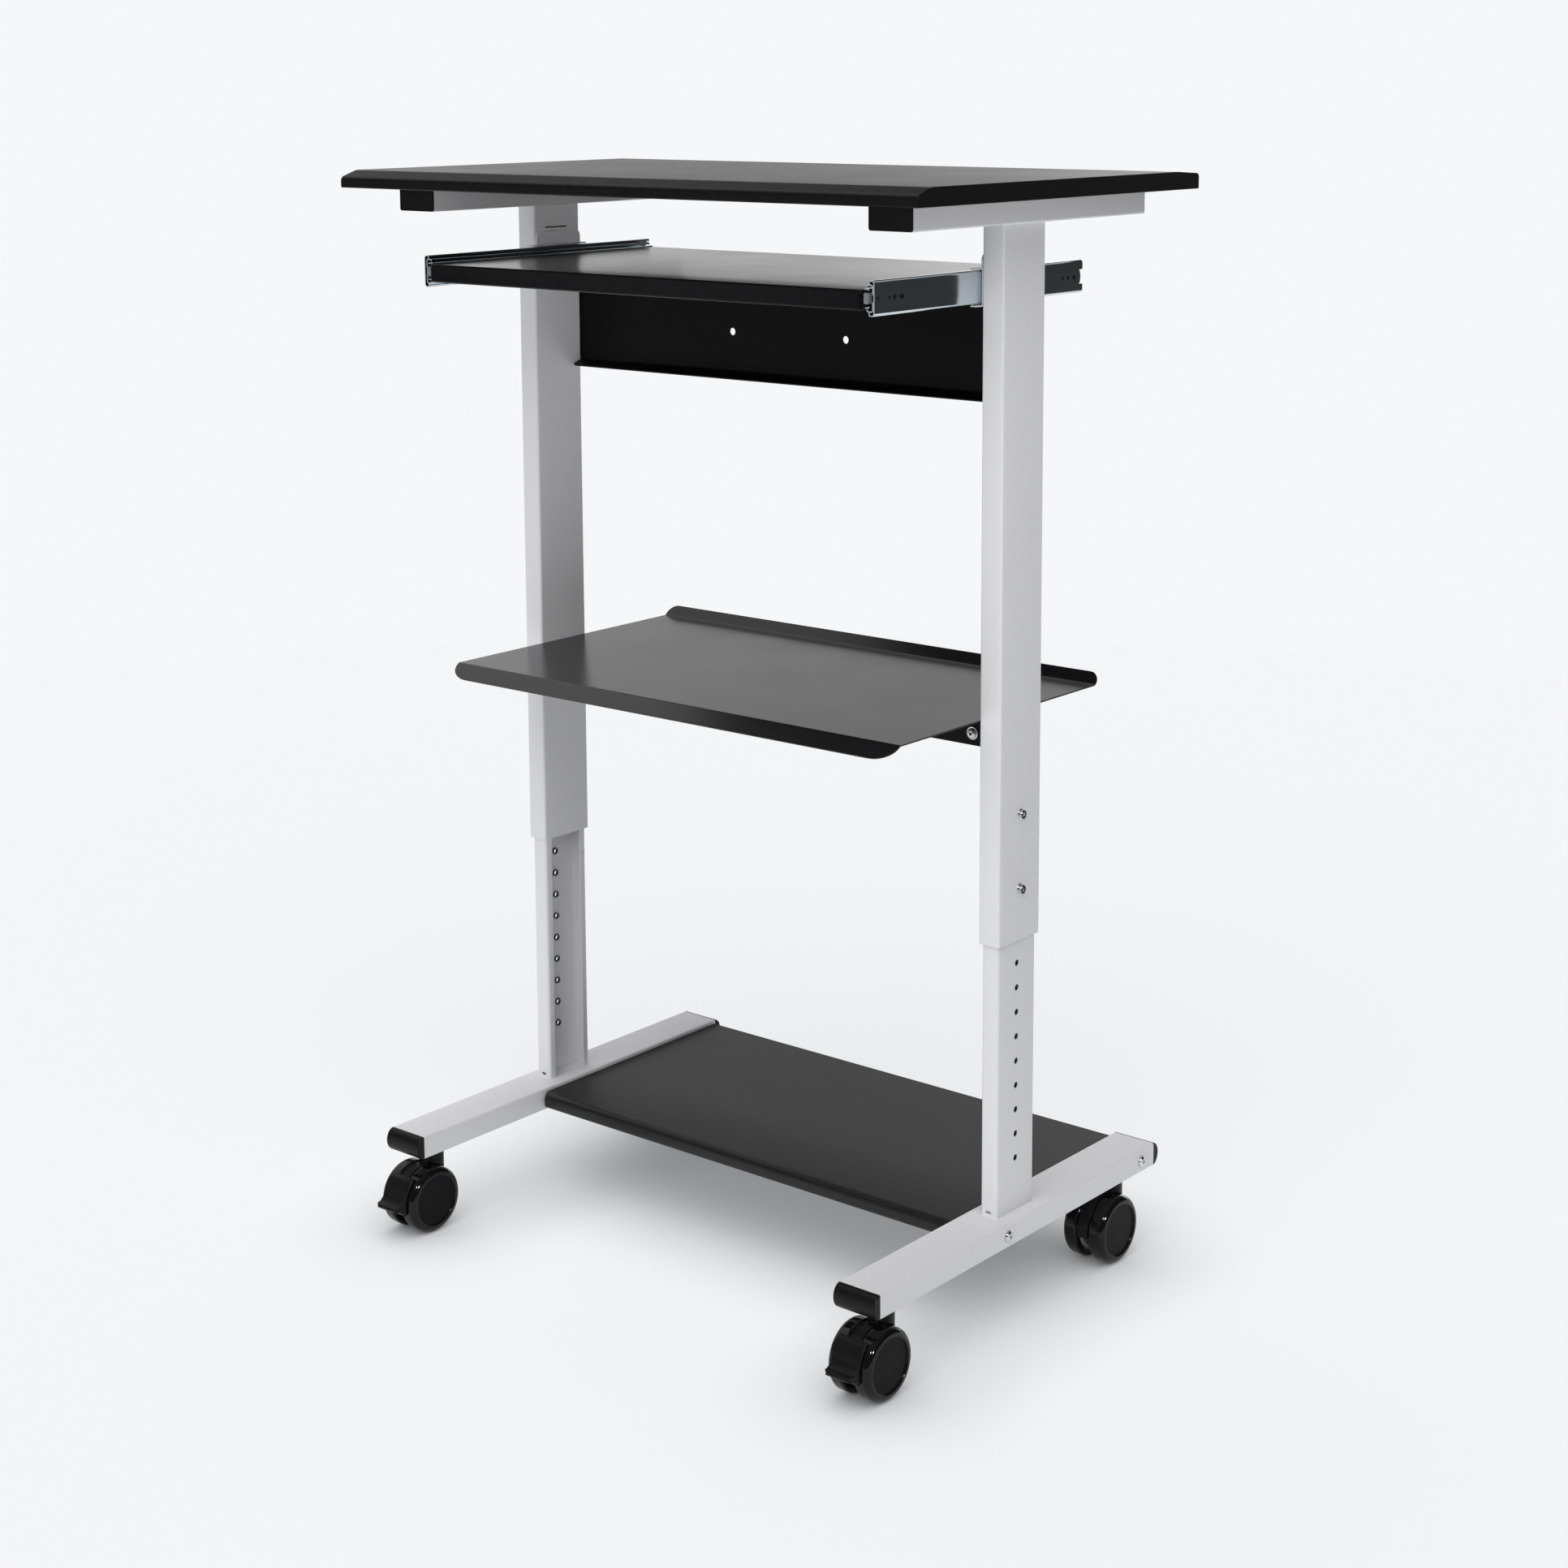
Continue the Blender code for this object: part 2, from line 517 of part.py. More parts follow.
def build_worktop():
    """A laminated board, eased down at the rear, whose front slopes to a rounded nose."""
    bottom, top = TOP_BOTTOM, OVERALL_HEIGHT
    rear, front = TOP_FRONT + TOP_DEPTH, TOP_FRONT
    points = [(rear, bottom)] + arc((rear - 0.004, top - REAR_DROP - 0.004), 0.004, 0, 90, 3)
    points += [(rear - REAR_EASE, top), (front + SLOPE_DEPTH, top)]
    nose_z = top - SLOPE_DROP - NOSE_RADIUS
    points += arc((front + NOSE_RADIUS, nose_z), NOSE_RADIUS, 100, 180, 5)
    points += arc((front + 0.0015, bottom + 0.0015), 0.0015, 180, 270, 2)
    mesh = smooth(extruded("worktop", [points], TOP_WIDTH))
    worktop = add("worktop", mesh, LAMINATE, (0, 0, 0), upper, ALONG["X"])
    bevel(worktop, 0.0008, 1, 60)


def build_modesty_panel():
    """A sheet behind the uprights, its bottom edge bent forward, with two through-holes."""
    y = COLUMN_Y + UPRIGHT_DEPTH / 2 + GAP
    half = SIDE_X + UPRIGHT_WIDTH / 2 - 0.003
    path = [(y, PANEL_TOP), (y, PANEL_BOTTOM), (y + PANEL_LIP[0], PANEL_BOTTOM + PANEL_LIP[1])]
    mesh = extruded("modesty_panel", [folded_sheet(path, SHEET)], 2 * half)
    panel = add("modesty_panel", mesh, SHEET_PAINT, (0, 0, 0), upper, ALONG["X"])
    inner = SIDE_X - UPRIGHT_WIDTH / 2 - GAP
    for side in (-1, 1):
        name = f"panel_lip_end_{'right' if side > 0 else 'left'}"
        block = box_mesh(name, (0.060, 0.040, 0.020))
        place = (side * (inner + 0.030), y - 0.020, PANEL_BOTTOM - 0.008)
        combine(panel, cutter(name, block, place), "DIFFERENCE")
    spots = [(x, PANEL_HOLE_Z, -y) for x in (-PANEL_HOLE_X, PANEL_HOLE_X)]
    cut_holes(panel, "panel_holes", PANEL_HOLE_RADIUS, 0.02, spots, Z_TO_Y, 16)


def build_middle_shelf():
    """A bent sheet between the uprights: front lip down, rear lip up, the lips' corners round."""
    path = [
        (SHELF_REAR + REAR_LIP[0], SHELF_TOP + REAR_LIP[1]),
        (SHELF_REAR, SHELF_TOP),
        (SHELF_FRONT, SHELF_TOP),
        (SHELF_FRONT + FRONT_LIP[0], SHELF_TOP + FRONT_LIP[1]),
    ]
    half = SIDE_X - UPRIGHT_WIDTH / 2 - GAP
    mesh = extruded("middle_shelf", [folded_sheet(path, SHEET)], 2 * half)
    shelf = add("middle_shelf", mesh, SHEET_PAINT, (0, 0, 0), upper, ALONG["X"])
    front, rear = path[-1][0], path[0][0]
    clear = 0.004
    for wide, deep, end, away, word in (FRONT_CORNER + (front, -1, "front"), REAR_CORNER + (rear, 1, "rear")):
        for side in (-1, 1):
            centre = (side * (half - wide), end - away * deep)
            points = [(side * (half + clear), end + away * clear), (centre[0], end + away * clear)]
            turn = arc((0, 0), 1, 90 * away, 0 if side > 0 else 180 * away, 6)
            points += [(centre[0] + wide * u, centre[1] + deep * v) for u, v in turn]
            points += [(side * (half + clear), centre[1])]
            name = f"shelf_{word}_{'right' if side > 0 else 'left'}_corner"
            helper = cutter(name, extruded(name, [points], 0.06), (0, 0, SHELF_TOP))
            combine(shelf, helper, "DIFFERENCE")


def build_crossbar():
    """An angle under the middle shelf, bolted to the uprights' ears."""
    half = SIDE_X - UPRIGHT_WIDTH / 2 - 0.004
    y, bottom, wall = CROSSBAR_Y, CROSSBAR_BOTTOM, CROSSBAR_WALL
    top = bottom + CROSSBAR_HEIGHT
    points = [(y, bottom), (y + wall, bottom), (y + wall, top - wall)]
    points += [(y + CROSSBAR_DEPTH, top - wall), (y + CROSSBAR_DEPTH, top), (y, top)]
    mesh = extruded("shelf_crossbar", [points], 2 * half)
    add("shelf_crossbar", mesh, SHEET_PAINT, (0, 0, 0), upper, ALONG["X"])


# ---- keyboard tray and its slides --------------------------------------------------------------------
tray = pivot("keyboard_tray_slide", (0, TRAY_FRONT, TRAY_TOP - TRAY_THICK / 2), upper)
def channel(outer_x, inner_x, height, wall):
    """Section of a C in (x, z): its web at outer_x, its flanges reaching to inner_x."""
    way = 1 if inner_x > outer_x else -1
    half = height / 2
    points = [(inner_x, half), (outer_x, half), (outer_x, -half), (inner_x, -half)]
    points += [(inner_x, -half + wall), (outer_x + way * wall, -half + wall)]
    points += [(outer_x + way * wall, half - wall), (inner_x, half - wall)]
    return points


def build_slide(side, label):
    """Three nested members: outer on the frame, intermediate at half travel, inner on the tray."""
    length = SLIDE_REAR - SLIDE_FRONT
    middle = (SLIDE_REAR + SLIDE_FRONT) / 2
    inner_face = OUTER_WEB - SLIDE_THICK
    tray_face = inner_face - GAP
    members = (
        ("outer", channel(OUTER_WEB, OUTER_WEB - 0.0090, SLIDE_HEIGHT, 0.0012), upper),
        ("intermediate", channel(OUTER_WEB - 0.0026, inner_face + 0.0010, 0.0270, 0.0010), None),
        ("inner", channel(inner_face, inner_face + 0.0070, 0.0210, 0.0012), tray),
    )
    for word, section, parent in members:
        name = f"{label}_slide_{word}_member"
        if parent is None:
            place = (side * OUTER_WEB, middle, SLIDE_Z)
            parent = pivot(f"{label}_slide_half_travel", place, upper)
        points = [(side * x, z) for x, z in section]
        mesh = extruded(name, [points], length)
        add(name, mesh, ZINC, (0, middle, SLIDE_Z), parent, ALONG["Y"])
    build_bracket(side, label)
    return tray_face


def build_bracket(side, label):
    """A plate on the upright's inner side, with a flange over and under the slide."""
    name = f"{label}_slide_bracket"
    web = SIDE_X - UPRIGHT_WIDTH / 2 - GAP  # outer face
    inner, reach = web - BRACKET_THICK, web - 0.0085
    half = SLIDE_HEIGHT / 2 + 0.0006
    top = half + BRACKET_RISE
    section = [(web, -half - BRACKET_THICK), (web, top), (inner, top)]
    section += [(inner, half + BRACKET_THICK), (reach, half + BRACKET_THICK), (reach, half)]
    section += [(inner, half), (inner, -half), (reach, -half), (reach, -half - BRACKET_THICK)]
    front = COLUMN_Y - UPRIGHT_DEPTH / 2 - BRACKET_AHEAD
    rear = COLUMN_Y + UPRIGHT_DEPTH / 2 + BRACKET_BEHIND
    place = (0, (front + rear) / 2, SLIDE_Z)
    mesh = extruded(name, [[(side * x, z) for x, z in section]], rear - front)
    plate = add(name, mesh, POWDER, place, upper, ALONG["Y"])
    radius, clear = BRACKET_RADIUS, 0.01
    ends = ((front, 1, BRACKET_AHEAD + 0.001), (rear, -1, BRACKET_BEHIND + 0.001))
    for end, way, inset in ends:
        edge, ear = end + way * inset, half + 0.004
        turn = (180, 90) if way > 0 else (0, 90)
        points = [(end - way * clear, ear), (edge, ear)]
        points += arc((edge + way * radius, top - radius), radius, *turn, 4)
        points += [(edge + way * radius, top + clear), (end - way * clear, top + clear)]
        points = [(y, SLIDE_Z + z) for y, z in points]
        corner_name = f"{name}_{'front' if way > 0 else 'rear'}"
        corner = extruded(corner_name, [points], 0.03)
        helper = cutter(corner_name, corner, (side * web, 0, 0), ALONG["X"])
        combine(plate, helper, "DIFFERENCE")


def build_tray(face):
    """The board between the slides, its front edge slightly rounded."""
    bottom, top, edge = TRAY_TOP - TRAY_THICK, TRAY_TOP, 0.002
    points = [(TRAY_REAR, bottom), (TRAY_REAR, top)]
    points += arc((TRAY_FRONT + edge, top - edge), edge, 90, 180, 3)
    points += arc((TRAY_FRONT + edge, bottom + edge), edge, 180, 270, 3)
    mesh = smooth(extruded("keyboard_tray", [points], 2 * face))
    add("keyboard_tray", mesh, LAMINATE, (0, 0, 0), tray, ALONG["X"])


# ---- assembly ----------------------------------------------------------------------------------------
for side, label in ((-1, "left"), (1, "right")):
    build_leg(side, label)
    build_column(side, label)
    build_upright(side, label)
    build_rail(side, label)
    build_caster(side, f"{label}_front", FRONT_STEM, True)
    build_caster(side, f"{label}_rear", REAR_STEM, False)
    tray_half_width = build_slide(side, label)
build_bottom_shelf()
build_worktop()
build_modesty_panel()
build_middle_shelf()
build_crossbar()
build_tray(tray_half_width)
desk.location.y = DESK_Y
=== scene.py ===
"""The looks of a mobile stand-up computer desk with a sliding keyboard tray.

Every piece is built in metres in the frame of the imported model, and takes its place from that
model's own nodes: +Z is up, the desk faces -Y and X is its width.
"""

import math

import bmesh
import bpy
from mathutils import Matrix, Vector


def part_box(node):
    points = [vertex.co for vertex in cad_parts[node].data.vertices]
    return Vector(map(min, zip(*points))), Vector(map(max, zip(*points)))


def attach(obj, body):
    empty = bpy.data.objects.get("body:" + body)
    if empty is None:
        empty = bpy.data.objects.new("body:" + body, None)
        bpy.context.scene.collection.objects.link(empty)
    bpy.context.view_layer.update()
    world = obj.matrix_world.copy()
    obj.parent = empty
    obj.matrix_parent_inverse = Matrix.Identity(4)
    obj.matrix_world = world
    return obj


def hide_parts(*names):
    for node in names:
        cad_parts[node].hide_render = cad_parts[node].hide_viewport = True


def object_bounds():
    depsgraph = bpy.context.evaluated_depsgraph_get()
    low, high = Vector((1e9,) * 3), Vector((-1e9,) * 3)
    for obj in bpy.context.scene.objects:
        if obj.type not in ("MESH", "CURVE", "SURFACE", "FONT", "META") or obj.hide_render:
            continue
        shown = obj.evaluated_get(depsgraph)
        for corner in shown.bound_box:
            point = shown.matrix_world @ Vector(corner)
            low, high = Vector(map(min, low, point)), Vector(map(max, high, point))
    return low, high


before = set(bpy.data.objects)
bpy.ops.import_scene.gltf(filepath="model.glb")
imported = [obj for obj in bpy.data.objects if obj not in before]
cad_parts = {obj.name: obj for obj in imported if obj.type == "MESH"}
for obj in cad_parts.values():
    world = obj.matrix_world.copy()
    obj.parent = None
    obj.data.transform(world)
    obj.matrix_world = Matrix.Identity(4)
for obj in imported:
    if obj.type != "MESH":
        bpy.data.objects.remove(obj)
CAD_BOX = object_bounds()

SIDES = (("left", -1), ("right", 1))
ENDS = (("front", -1), ("rear", 1))
POWDER_SLOT, SHEET_SLOT, LAMINATE_SLOT = "light_grey_powder_coat", "black_sheet_steel", "black_laminate"
PLASTIC_SLOT, WHEEL_SLOT, ZINC_SLOT = "black_plastic", "wheel_gloss_black", "zinc_steel"


# ---- outlines --------------------------------------------------------
def arc(centre, radius, start, end, steps):
    """Points on an arc, angles in degrees; radius may be a pair for an ellipse."""
    across, along = radius if isinstance(radius, tuple) else (radius, radius)
    turn = [math.radians(start + (end - start) * i / steps) for i in range(steps + 1)]
    return [(centre[0] + across * math.cos(a), centre[1] + along * math.sin(a)) for a in turn]


def rounded_rectangle(low, high, radius, steps=6):
    """Outline between two opposite corners, anticlockwise from the right side."""
    points = []
    for number, (x, y) in enumerate(((high[0], high[1]), (low[0], high[1]), low, (high[0], low[1]))):
        away_x, away_y = ((-1, -1), (1, -1), (1, 1), (-1, 1))[number]
        corner = (x + away_x * radius, y + away_y * radius)
        points += arc(corner, radius, 90 * number, 90 * number + 90, steps)
    return points


def rounded_path(points, radii, steps=5):
    """An open path whose inner corners are rounded to the given radii."""
    made = [tuple(points[0])]
    for before, corner, after, radius in zip(points, points[1:], points[2:], radii):
        here = Vector(corner)
        back, ahead = (Vector(before) - here).normalized(), (Vector(after) - here).normalized()
        half = math.acos(max(-1, min(1, back.dot(ahead)))) / 2
        start, end = here + back * radius / math.tan(half), here + ahead * radius / math.tan(half)
        centre = here + (back + ahead).normalized() * radius / math.sin(half)
        first, last = start - centre, end - centre
        turn = math.atan2(first.x * last.y - first.y * last.x, first.dot(last))
        for i in range(steps + 1):
            made.append(tuple(centre + Matrix.Rotation(turn * i / steps, 2) @ first))
    made.append(tuple(points[-1]))
    return made


def offset(path, distance):
    """The path moved to its left by a distance."""
    points = [Vector(p) for p in path]
    runs = [(b - a).normalized() for a, b in zip(points, points[1:])]
    normals = [Vector((-run.y, run.x)) for run in runs]
    moved = []
    for i, point in enumerate(points):
        before, after = normals[max(i - 1, 0)], normals[min(i, len(normals) - 1)]
        middle = (before + after).normalized()
        moved.append(tuple(point + middle * (distance / middle.dot(after))))
    return moved


def band(path, thick):
    """Outline of a strip of constant thickness whose middle line is the path."""
    return offset(path, thick / 2) + offset(path, -thick / 2)[::-1]


# ---- solids ----------------------------------------------------------
def placed(axis, u, v, w):
    """World place of an outline's point (u, v) at w along the axis."""
    return {"X": (w, u, v), "Y": (u, w, v), "Z": (u, v, w)}[axis]


def loft(bm, rings, closed=False):
    """Skin rings of points, with end caps unless the rings close on each other."""
    loops = [[bm.verts.new(p) for p in ring] for ring in rings]
    pairs = list(zip(loops, loops[1:])) + ([(loops[-1], loops[0])] if closed else [])
    for a, b in pairs:
        for i in range(len(a)):
            j = (i + 1) % len(a)
            bm.faces.new((a[i], a[j], b[j], b[i]))
    if not closed:
        bm.faces.new(loops[0])
        bm.faces.new(loops[-1])
    return loops


def prism(bm, outline, axis, low, high):
    """An outline given thickness between two places along an axis."""
    loft(bm, [[placed(axis, u, v, w) for u, v in outline] for w in (low, high)])
    return bm


def tube(bm, outer, inner, axis, low, high):
    """A hollow section: two outlines with the same number of points."""
    rings = [(outer, low), (outer, high), (inner, high), (inner, low)]
    loft(bm, [[placed(axis, u, v, w) for u, v in line] for line, w in rings], closed=True)
    return bm


def box(bm, low, high):
    """A plain block, as part of a larger piece."""
    return prism(bm, [(low[0], low[1]), (high[0], low[1]), (high[0], high[1]), (low[0], high[1])],
                 "Z", low[2], high[2])


def lathe(bm, profile, axis, centre, steps=48):
    """Turn (radius, height) points; height runs along the axis and a radius may depend on the angle."""
    rings = []
    for radius, height in profile:
        ring = []
        for i in range(steps):
            angle = 2 * math.pi * i / steps
            r = radius(angle) if callable(radius) else radius
            u, v = r * math.cos(angle), r * math.sin(angle)
            ring.append(Vector(placed(axis, u, v, height)) + Vector(centre))
        rings.append(ring)
    loops = []
    for (radius, _), ring in zip(profile, rings):
        tip = not callable(radius) and radius < 1e-7
        loops.append([bm.verts.new(ring[0])] if tip else [bm.verts.new(p) for p in ring])
    closed = len(loops[0]) > 1
    for a, b in list(zip(loops, loops[1:])) + ([(loops[-1], loops[0])] if closed else []):
        for i in range(steps):
            j = (i + 1) % steps
            corners = [a[i % len(a)], a[j % len(a)], b[j % len(b)], b[i % len(b)]]
            corners = [v for k, v in enumerate(corners) if v not in corners[:k]]
            if len(corners) > 2:
                bm.faces.new(corners)
    return bm


def rod_profile(radius, start, end):
    """The profile of a plain round rod, for lathe."""
    return [(0.0, start), (radius, start), (radius, end), (0.0, end)]


def evaluated_mesh(obj):
    graph = bpy.context.evaluated_depsgraph_get()
    return bpy.data.meshes.new_from_object(obj.evaluated_get(graph))


def linked(name, data):
    """A new object in the scene that shows the data."""
    obj = bpy.data.objects.new(name, data)
    bpy.context.scene.collection.objects.link(obj)
    return obj


def as_object(bm, name):
    mesh = bpy.data.meshes.new(name)
    bmesh.ops.recalc_face_normals(bm, faces=bm.faces)
    bm.to_mesh(mesh)
    bm.free()
    return linked(name, mesh)


def carved(bm, cutters, operation="DIFFERENCE"):
    """The solid after each helper solid is cut from it, or joined on."""
    obj = as_object(bm, "carved")
    helpers = [as_object(cutter, "helper") for cutter in cutters]
    for helper in helpers:
        cut = obj.modifiers.new("cut", "BOOLEAN")
        cut.operation = operation
        cut.solver = "EXACT"
        cut.object = helper
    made = bmesh.new()
    made.from_mesh(evaluated_mesh(obj))
    for old in [obj, *helpers]:
        bpy.data.objects.remove(old)
    return made


def piece(name, bm, material, body, nodes=(), bevel=0.0, segments=3, angle=38):
    """Finish a solid as a shown piece that rides on a body and stands for CAD nodes."""
    obj = as_object(bm, name)
    for each in material if isinstance(material, tuple) else (material,):
        obj.data.materials.append(each)
    obj.data.shade_smooth()
    if bevel:
        edge = obj.modifiers.new("rounded_edges", "BEVEL")
        edge.width = bevel
        edge.segments = segments
        edge.limit_method = "ANGLE"
        edge.angle_limit = math.radians(angle)
        edge.harden_normals = True
    else:
        obj.data.set_sharp_from_angle(angle=math.radians(angle))
    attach(obj, body)
    if nodes:
        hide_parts(*nodes)
    return obj


# ---- materials -------------------------------------------------------
def set_inputs(node, values):
    for name, value in values.items():
        node.inputs[name].default_value = value


class Shader:
    """A Principled material whose texture is measured in metres of the object's own space."""

    def __init__(self, name, colour, roughness, metallic=0.0, specular=0.5):
        self.material = bpy.data.materials.new(name)
        self.material.use_nodes = True
        self.nodes, self.links = self.material.node_tree.nodes, self.material.node_tree.links
        self.shader = self.nodes["Principled BSDF"]
        self.colour, self.roughness = colour, roughness
        set_inputs(self.shader, {"Base Color": (*colour, 1), "Roughness": roughness,
                                 "Metallic": metallic, "Specular IOR Level": specular})
        self.material.diffuse_color = (*colour, 1)
        self.space = self.nodes.new("ShaderNodeTexCoord")
        self.bump = None

    def mapped(self, stretch):
        mapping = self.nodes.new("ShaderNodeMapping")
        mapping.inputs["Scale"].default_value = stretch
        self.links.new(self.space.outputs["Object"], mapping.inputs["Vector"])
        return mapping.outputs["Vector"]

    def noise(self, scale, detail=3, stretch=(1, 1, 1)):
        node = self.nodes.new("ShaderNodeTexNoise")
        set_inputs(node, {"Scale": scale, "Detail": detail})
        self.links.new(self.mapped(stretch), node.inputs["Vector"])
        return node.outputs["Fac"]

    def cells(self, scale, stretch=(1, 1, 1)):
        node = self.nodes.new("ShaderNodeTexVoronoi")
        node.feature = "SMOOTH_F1"
        set_inputs(node, {"Scale": scale, "Smoothness": 0.35})
        self.links.new(self.mapped(stretch), node.inputs["Vector"])
        return node.outputs["Distance"]

    def relief(self, height, strength, distance):
        """Add a bump under any bump there already is."""
        node = self.nodes.new("ShaderNodeBump")
        set_inputs(node, {"Strength": strength, "Distance": distance})
        self.links.new(height, node.inputs["Height"])
        if self.bump:
            self.links.new(self.bump.outputs["Normal"], node.inputs["Normal"])
        self.bump = node
        self.links.new(node.outputs["Normal"], self.shader.inputs["Normal"])

    def ranged(self, value, low, high):
        """The middle of a texture's values, stretched to run from low to high."""
        node = self.nodes.new("ShaderNodeMapRange")
        set_inputs(node, {"From Min": 0.3, "From Max": 0.7, "To Min": low, "To Max": high})
        self.links.new(value, node.inputs["Value"])
        return node.outputs["Result"]

    def uneven_roughness(self, value, spread):
        result = self.ranged(value, self.roughness - spread, self.roughness + spread)
        self.links.new(result, self.shader.inputs["Roughness"])

    def uneven_colour(self, value, other):
        """Blend between the base colour and another by a texture value."""
        mix = self.nodes.new("ShaderNodeMix")
        mix.data_type = "RGBA"
        mix.inputs["A"].default_value, mix.inputs["B"].default_value = (*self.colour, 1), (*other, 1)
        self.links.new(self.ranged(value, 0, 1), mix.inputs["Factor"])
        self.links.new(mix.outputs["Result"], self.shader.inputs["Base Color"])


def shaded(colour, factor):
    return tuple(c * factor for c in colour)


def laminate(name, colour, roughness, specular, grain, grain_depth):
    """Dark board foil with a fine leather grain and faint cloudy wear."""
    made = Shader(name, colour, roughness, specular=specular)
    cloud = made.noise(9, 4)
    made.uneven_colour(made.noise(160, 3), shaded(colour, 1.5))
    made.uneven_roughness(cloud, 0.012)
    made.relief(made.cells(grain), 0.35, grain_depth)
    made.relief(made.noise(2.4 * grain, 2), 0.25, grain_depth * 0.5)
    return made.material


def powder_coat(name, colour, roughness, grain=900, depth=0.00006, specular=0.45):
    """Baked paint with a fine orange-peel texture."""
    made = Shader(name, colour, roughness, specular=specular)
    made.uneven_colour(made.noise(600, 2), shaded(colour, 0.93))
    made.uneven_roughness(made.noise(14, 3), 0.012)
    made.relief(made.noise(grain, 2), 0.35, depth)
    return made.material


def moulded(name, colour, roughness, specular=0.4, grain=2600, depth=0.00003):
    """Moulded plastic with a faint spark-eroded texture."""
    made = Shader(name, colour, roughness, specular=specular)
    made.uneven_colour(made.noise(300, 2), shaded(colour, 1.6))
    made.uneven_roughness(made.noise(60, 3), 0.05)
    made.relief(made.noise(grain, 2), 0.3, depth)
    return made.material


def plated(name, colour, roughness, stretch):
    """Zinc plating: rolled streaks in the steel under a bright, slightly blue coat."""
    made = Shader(name, colour, roughness, metallic=1.0)
    streaks = made.noise(60, 4, stretch)
    made.uneven_colour(made.noise(25, 4, stretch), shaded(colour, 0.82))
    made.uneven_roughness(streaks, 0.04)
    made.relief(made.noise(160, 3, stretch), 0.08, 0.00004)
    return made.material


WORKTOP_FOIL = laminate("worktop_foil", (0.0045, 0.0043, 0.0047), 0.37, 0.13, 900, 0.00010)
TRAY_FOIL = laminate("tray_foil", (0.0045, 0.0045, 0.0053), 0.24, 0.13, 1100, 0.00002)
BOARD_FOIL = laminate("bottom_board_foil", (0.0065, 0.0065, 0.0072), 0.40, 0.32, 1000, 0.00005)
POWDER = powder_coat("light_grey_powder", (0.80, 0.80, 0.82), 0.46)
SHEET_PAINT = powder_coat("satin_black_sheet_paint", (0.0065, 0.0065, 0.0075), 0.24, 1200, 0.00002)
PANEL_PAINT = powder_coat("satin_black_panel_paint", (0.0045, 0.0045, 0.0050), 0.40, 1000, 0.00004, 0.12)
PLASTIC = moulded("moulded_black_plastic", (0.0048, 0.0048, 0.0054), 0.38, 0.16)
DISC = moulded("wheel_disc_black", (0.0042, 0.0042, 0.0050), 0.36, 0.07)
GLOSS = moulded("wheel_rim_gloss", (0.0036, 0.0036, 0.0042), 0.08, 0.25, 500, 0.0)
GREY_TAB = moulded("grey_slide_tab", (0.15, 0.155, 0.17), 0.38)
SLIDE_ZINC = plated("slide_bright_zinc", (0.70, 0.78, 0.81), 0.12, (1, 0.05, 1))
BOLT_ZINC = plated("bolt_bright_zinc", (0.72, 0.74, 0.76), 0.20, (1, 1, 1))
# Dark steel for the column inserts; the same colour also paints a dark reflection on the cap bolts' flat
# faces.
DARK_STEEL_AND_PAINTED_REFLECTION = plated("dark_steel_and_painted_dark_reflection", (0.045, 0.045, 0.050), 0.30, (1, 1, 1))
BEARING = plated("bearing_steel", (0.80, 0.81, 0.82), 0.08, (1, 1, 1))


# ---- shared details --------------------------------------------------
def bolt_mesh(place, axis, way, shape):
    """A screw head with a hexagon socket, pointing along the axis: a button, a cap or a flanged button."""
    apothem, top, rim = 0.0020, 0.0037, 0.0010

    def socket(angle):
        return apothem / math.cos(math.fmod(angle, math.pi / 3) - math.pi / 6)

    profile = [(0.0, top - 0.0022), (socket, top - 0.0022), (socket, top), (apothem * 1.32, top)]
    if shape == "button":
        profile += arc((0.0022, 0.0006), (0.0038, top - 0.0006), 80, 0, 9) + [(0.0060, 0.0), (0.0, 0.0)]
    elif shape == "cap":
        profile += [(0.0044, top), (0.0048, top - 0.0004), (0.0048, rim), (0.0058, rim)]
        profile += [(0.0061, rim - 0.0003), (0.0061, 0.0), (0.0, 0.0)]
    else:
        profile += arc((0.0022, rim + 0.0004), (0.0030, top - rim - 0.0004), 78, 0, 7)
        profile += [(0.0052, rim), (0.0063, rim), (0.0066, rim - 0.0003), (0.0066, 0.0), (0.0, 0.0)]
    bm = lathe(bmesh.new(), [(r, way * h) for r, h in profile], axis, place, 36)
    along = "XYZ".index(axis)
    for face in bm.faces:
        height = way * (face.calc_center_median()[along] - place[along])
        # A cap's flat top face takes the second material: a painted dark reflection in the zinc.
        face.material_index = int(shape == "cap" and height > top - 0.0001)
    return bm


def tubing(bm, low, high, wall, radius, axis):
    """A rounded rectangular tube between two corners of its box."""
    along = "XYZ".index(axis)
    first, second = ((1, 2), (0, 2), (0, 1))[along]
    a, b = (low[first], low[second]), (high[first], high[second])
    inner_a, inner_b = (a[0] + wall, a[1] + wall), (b[0] - wall, b[1] - wall)
    outer = rounded_rectangle(a, b, radius)
    inner = rounded_rectangle(inner_a, inner_b, max(radius - wall, 0.0006))
    return tube(bm, outer, inner, axis, low[along], high[along])


def weld_bead(bm, low, high, z, way, size=0.0014, radius=0.0026):
    """A small concave fillet round a tube's foot or head, on the plane z."""
    rings = []
    for u, v in ((0, 0), (size, 0), (size * 0.35, size * 0.35), (0, size), (-0.0004, size), (-0.0004, 0)):
        grown = rounded_rectangle((low[0] - u, low[1] - u), (high[0] + u, high[1] + u), radius + u)
        rings.append([(x, y, z + way * v) for x, y in grown])
    loft(bm, rings, closed=True)
    return bm


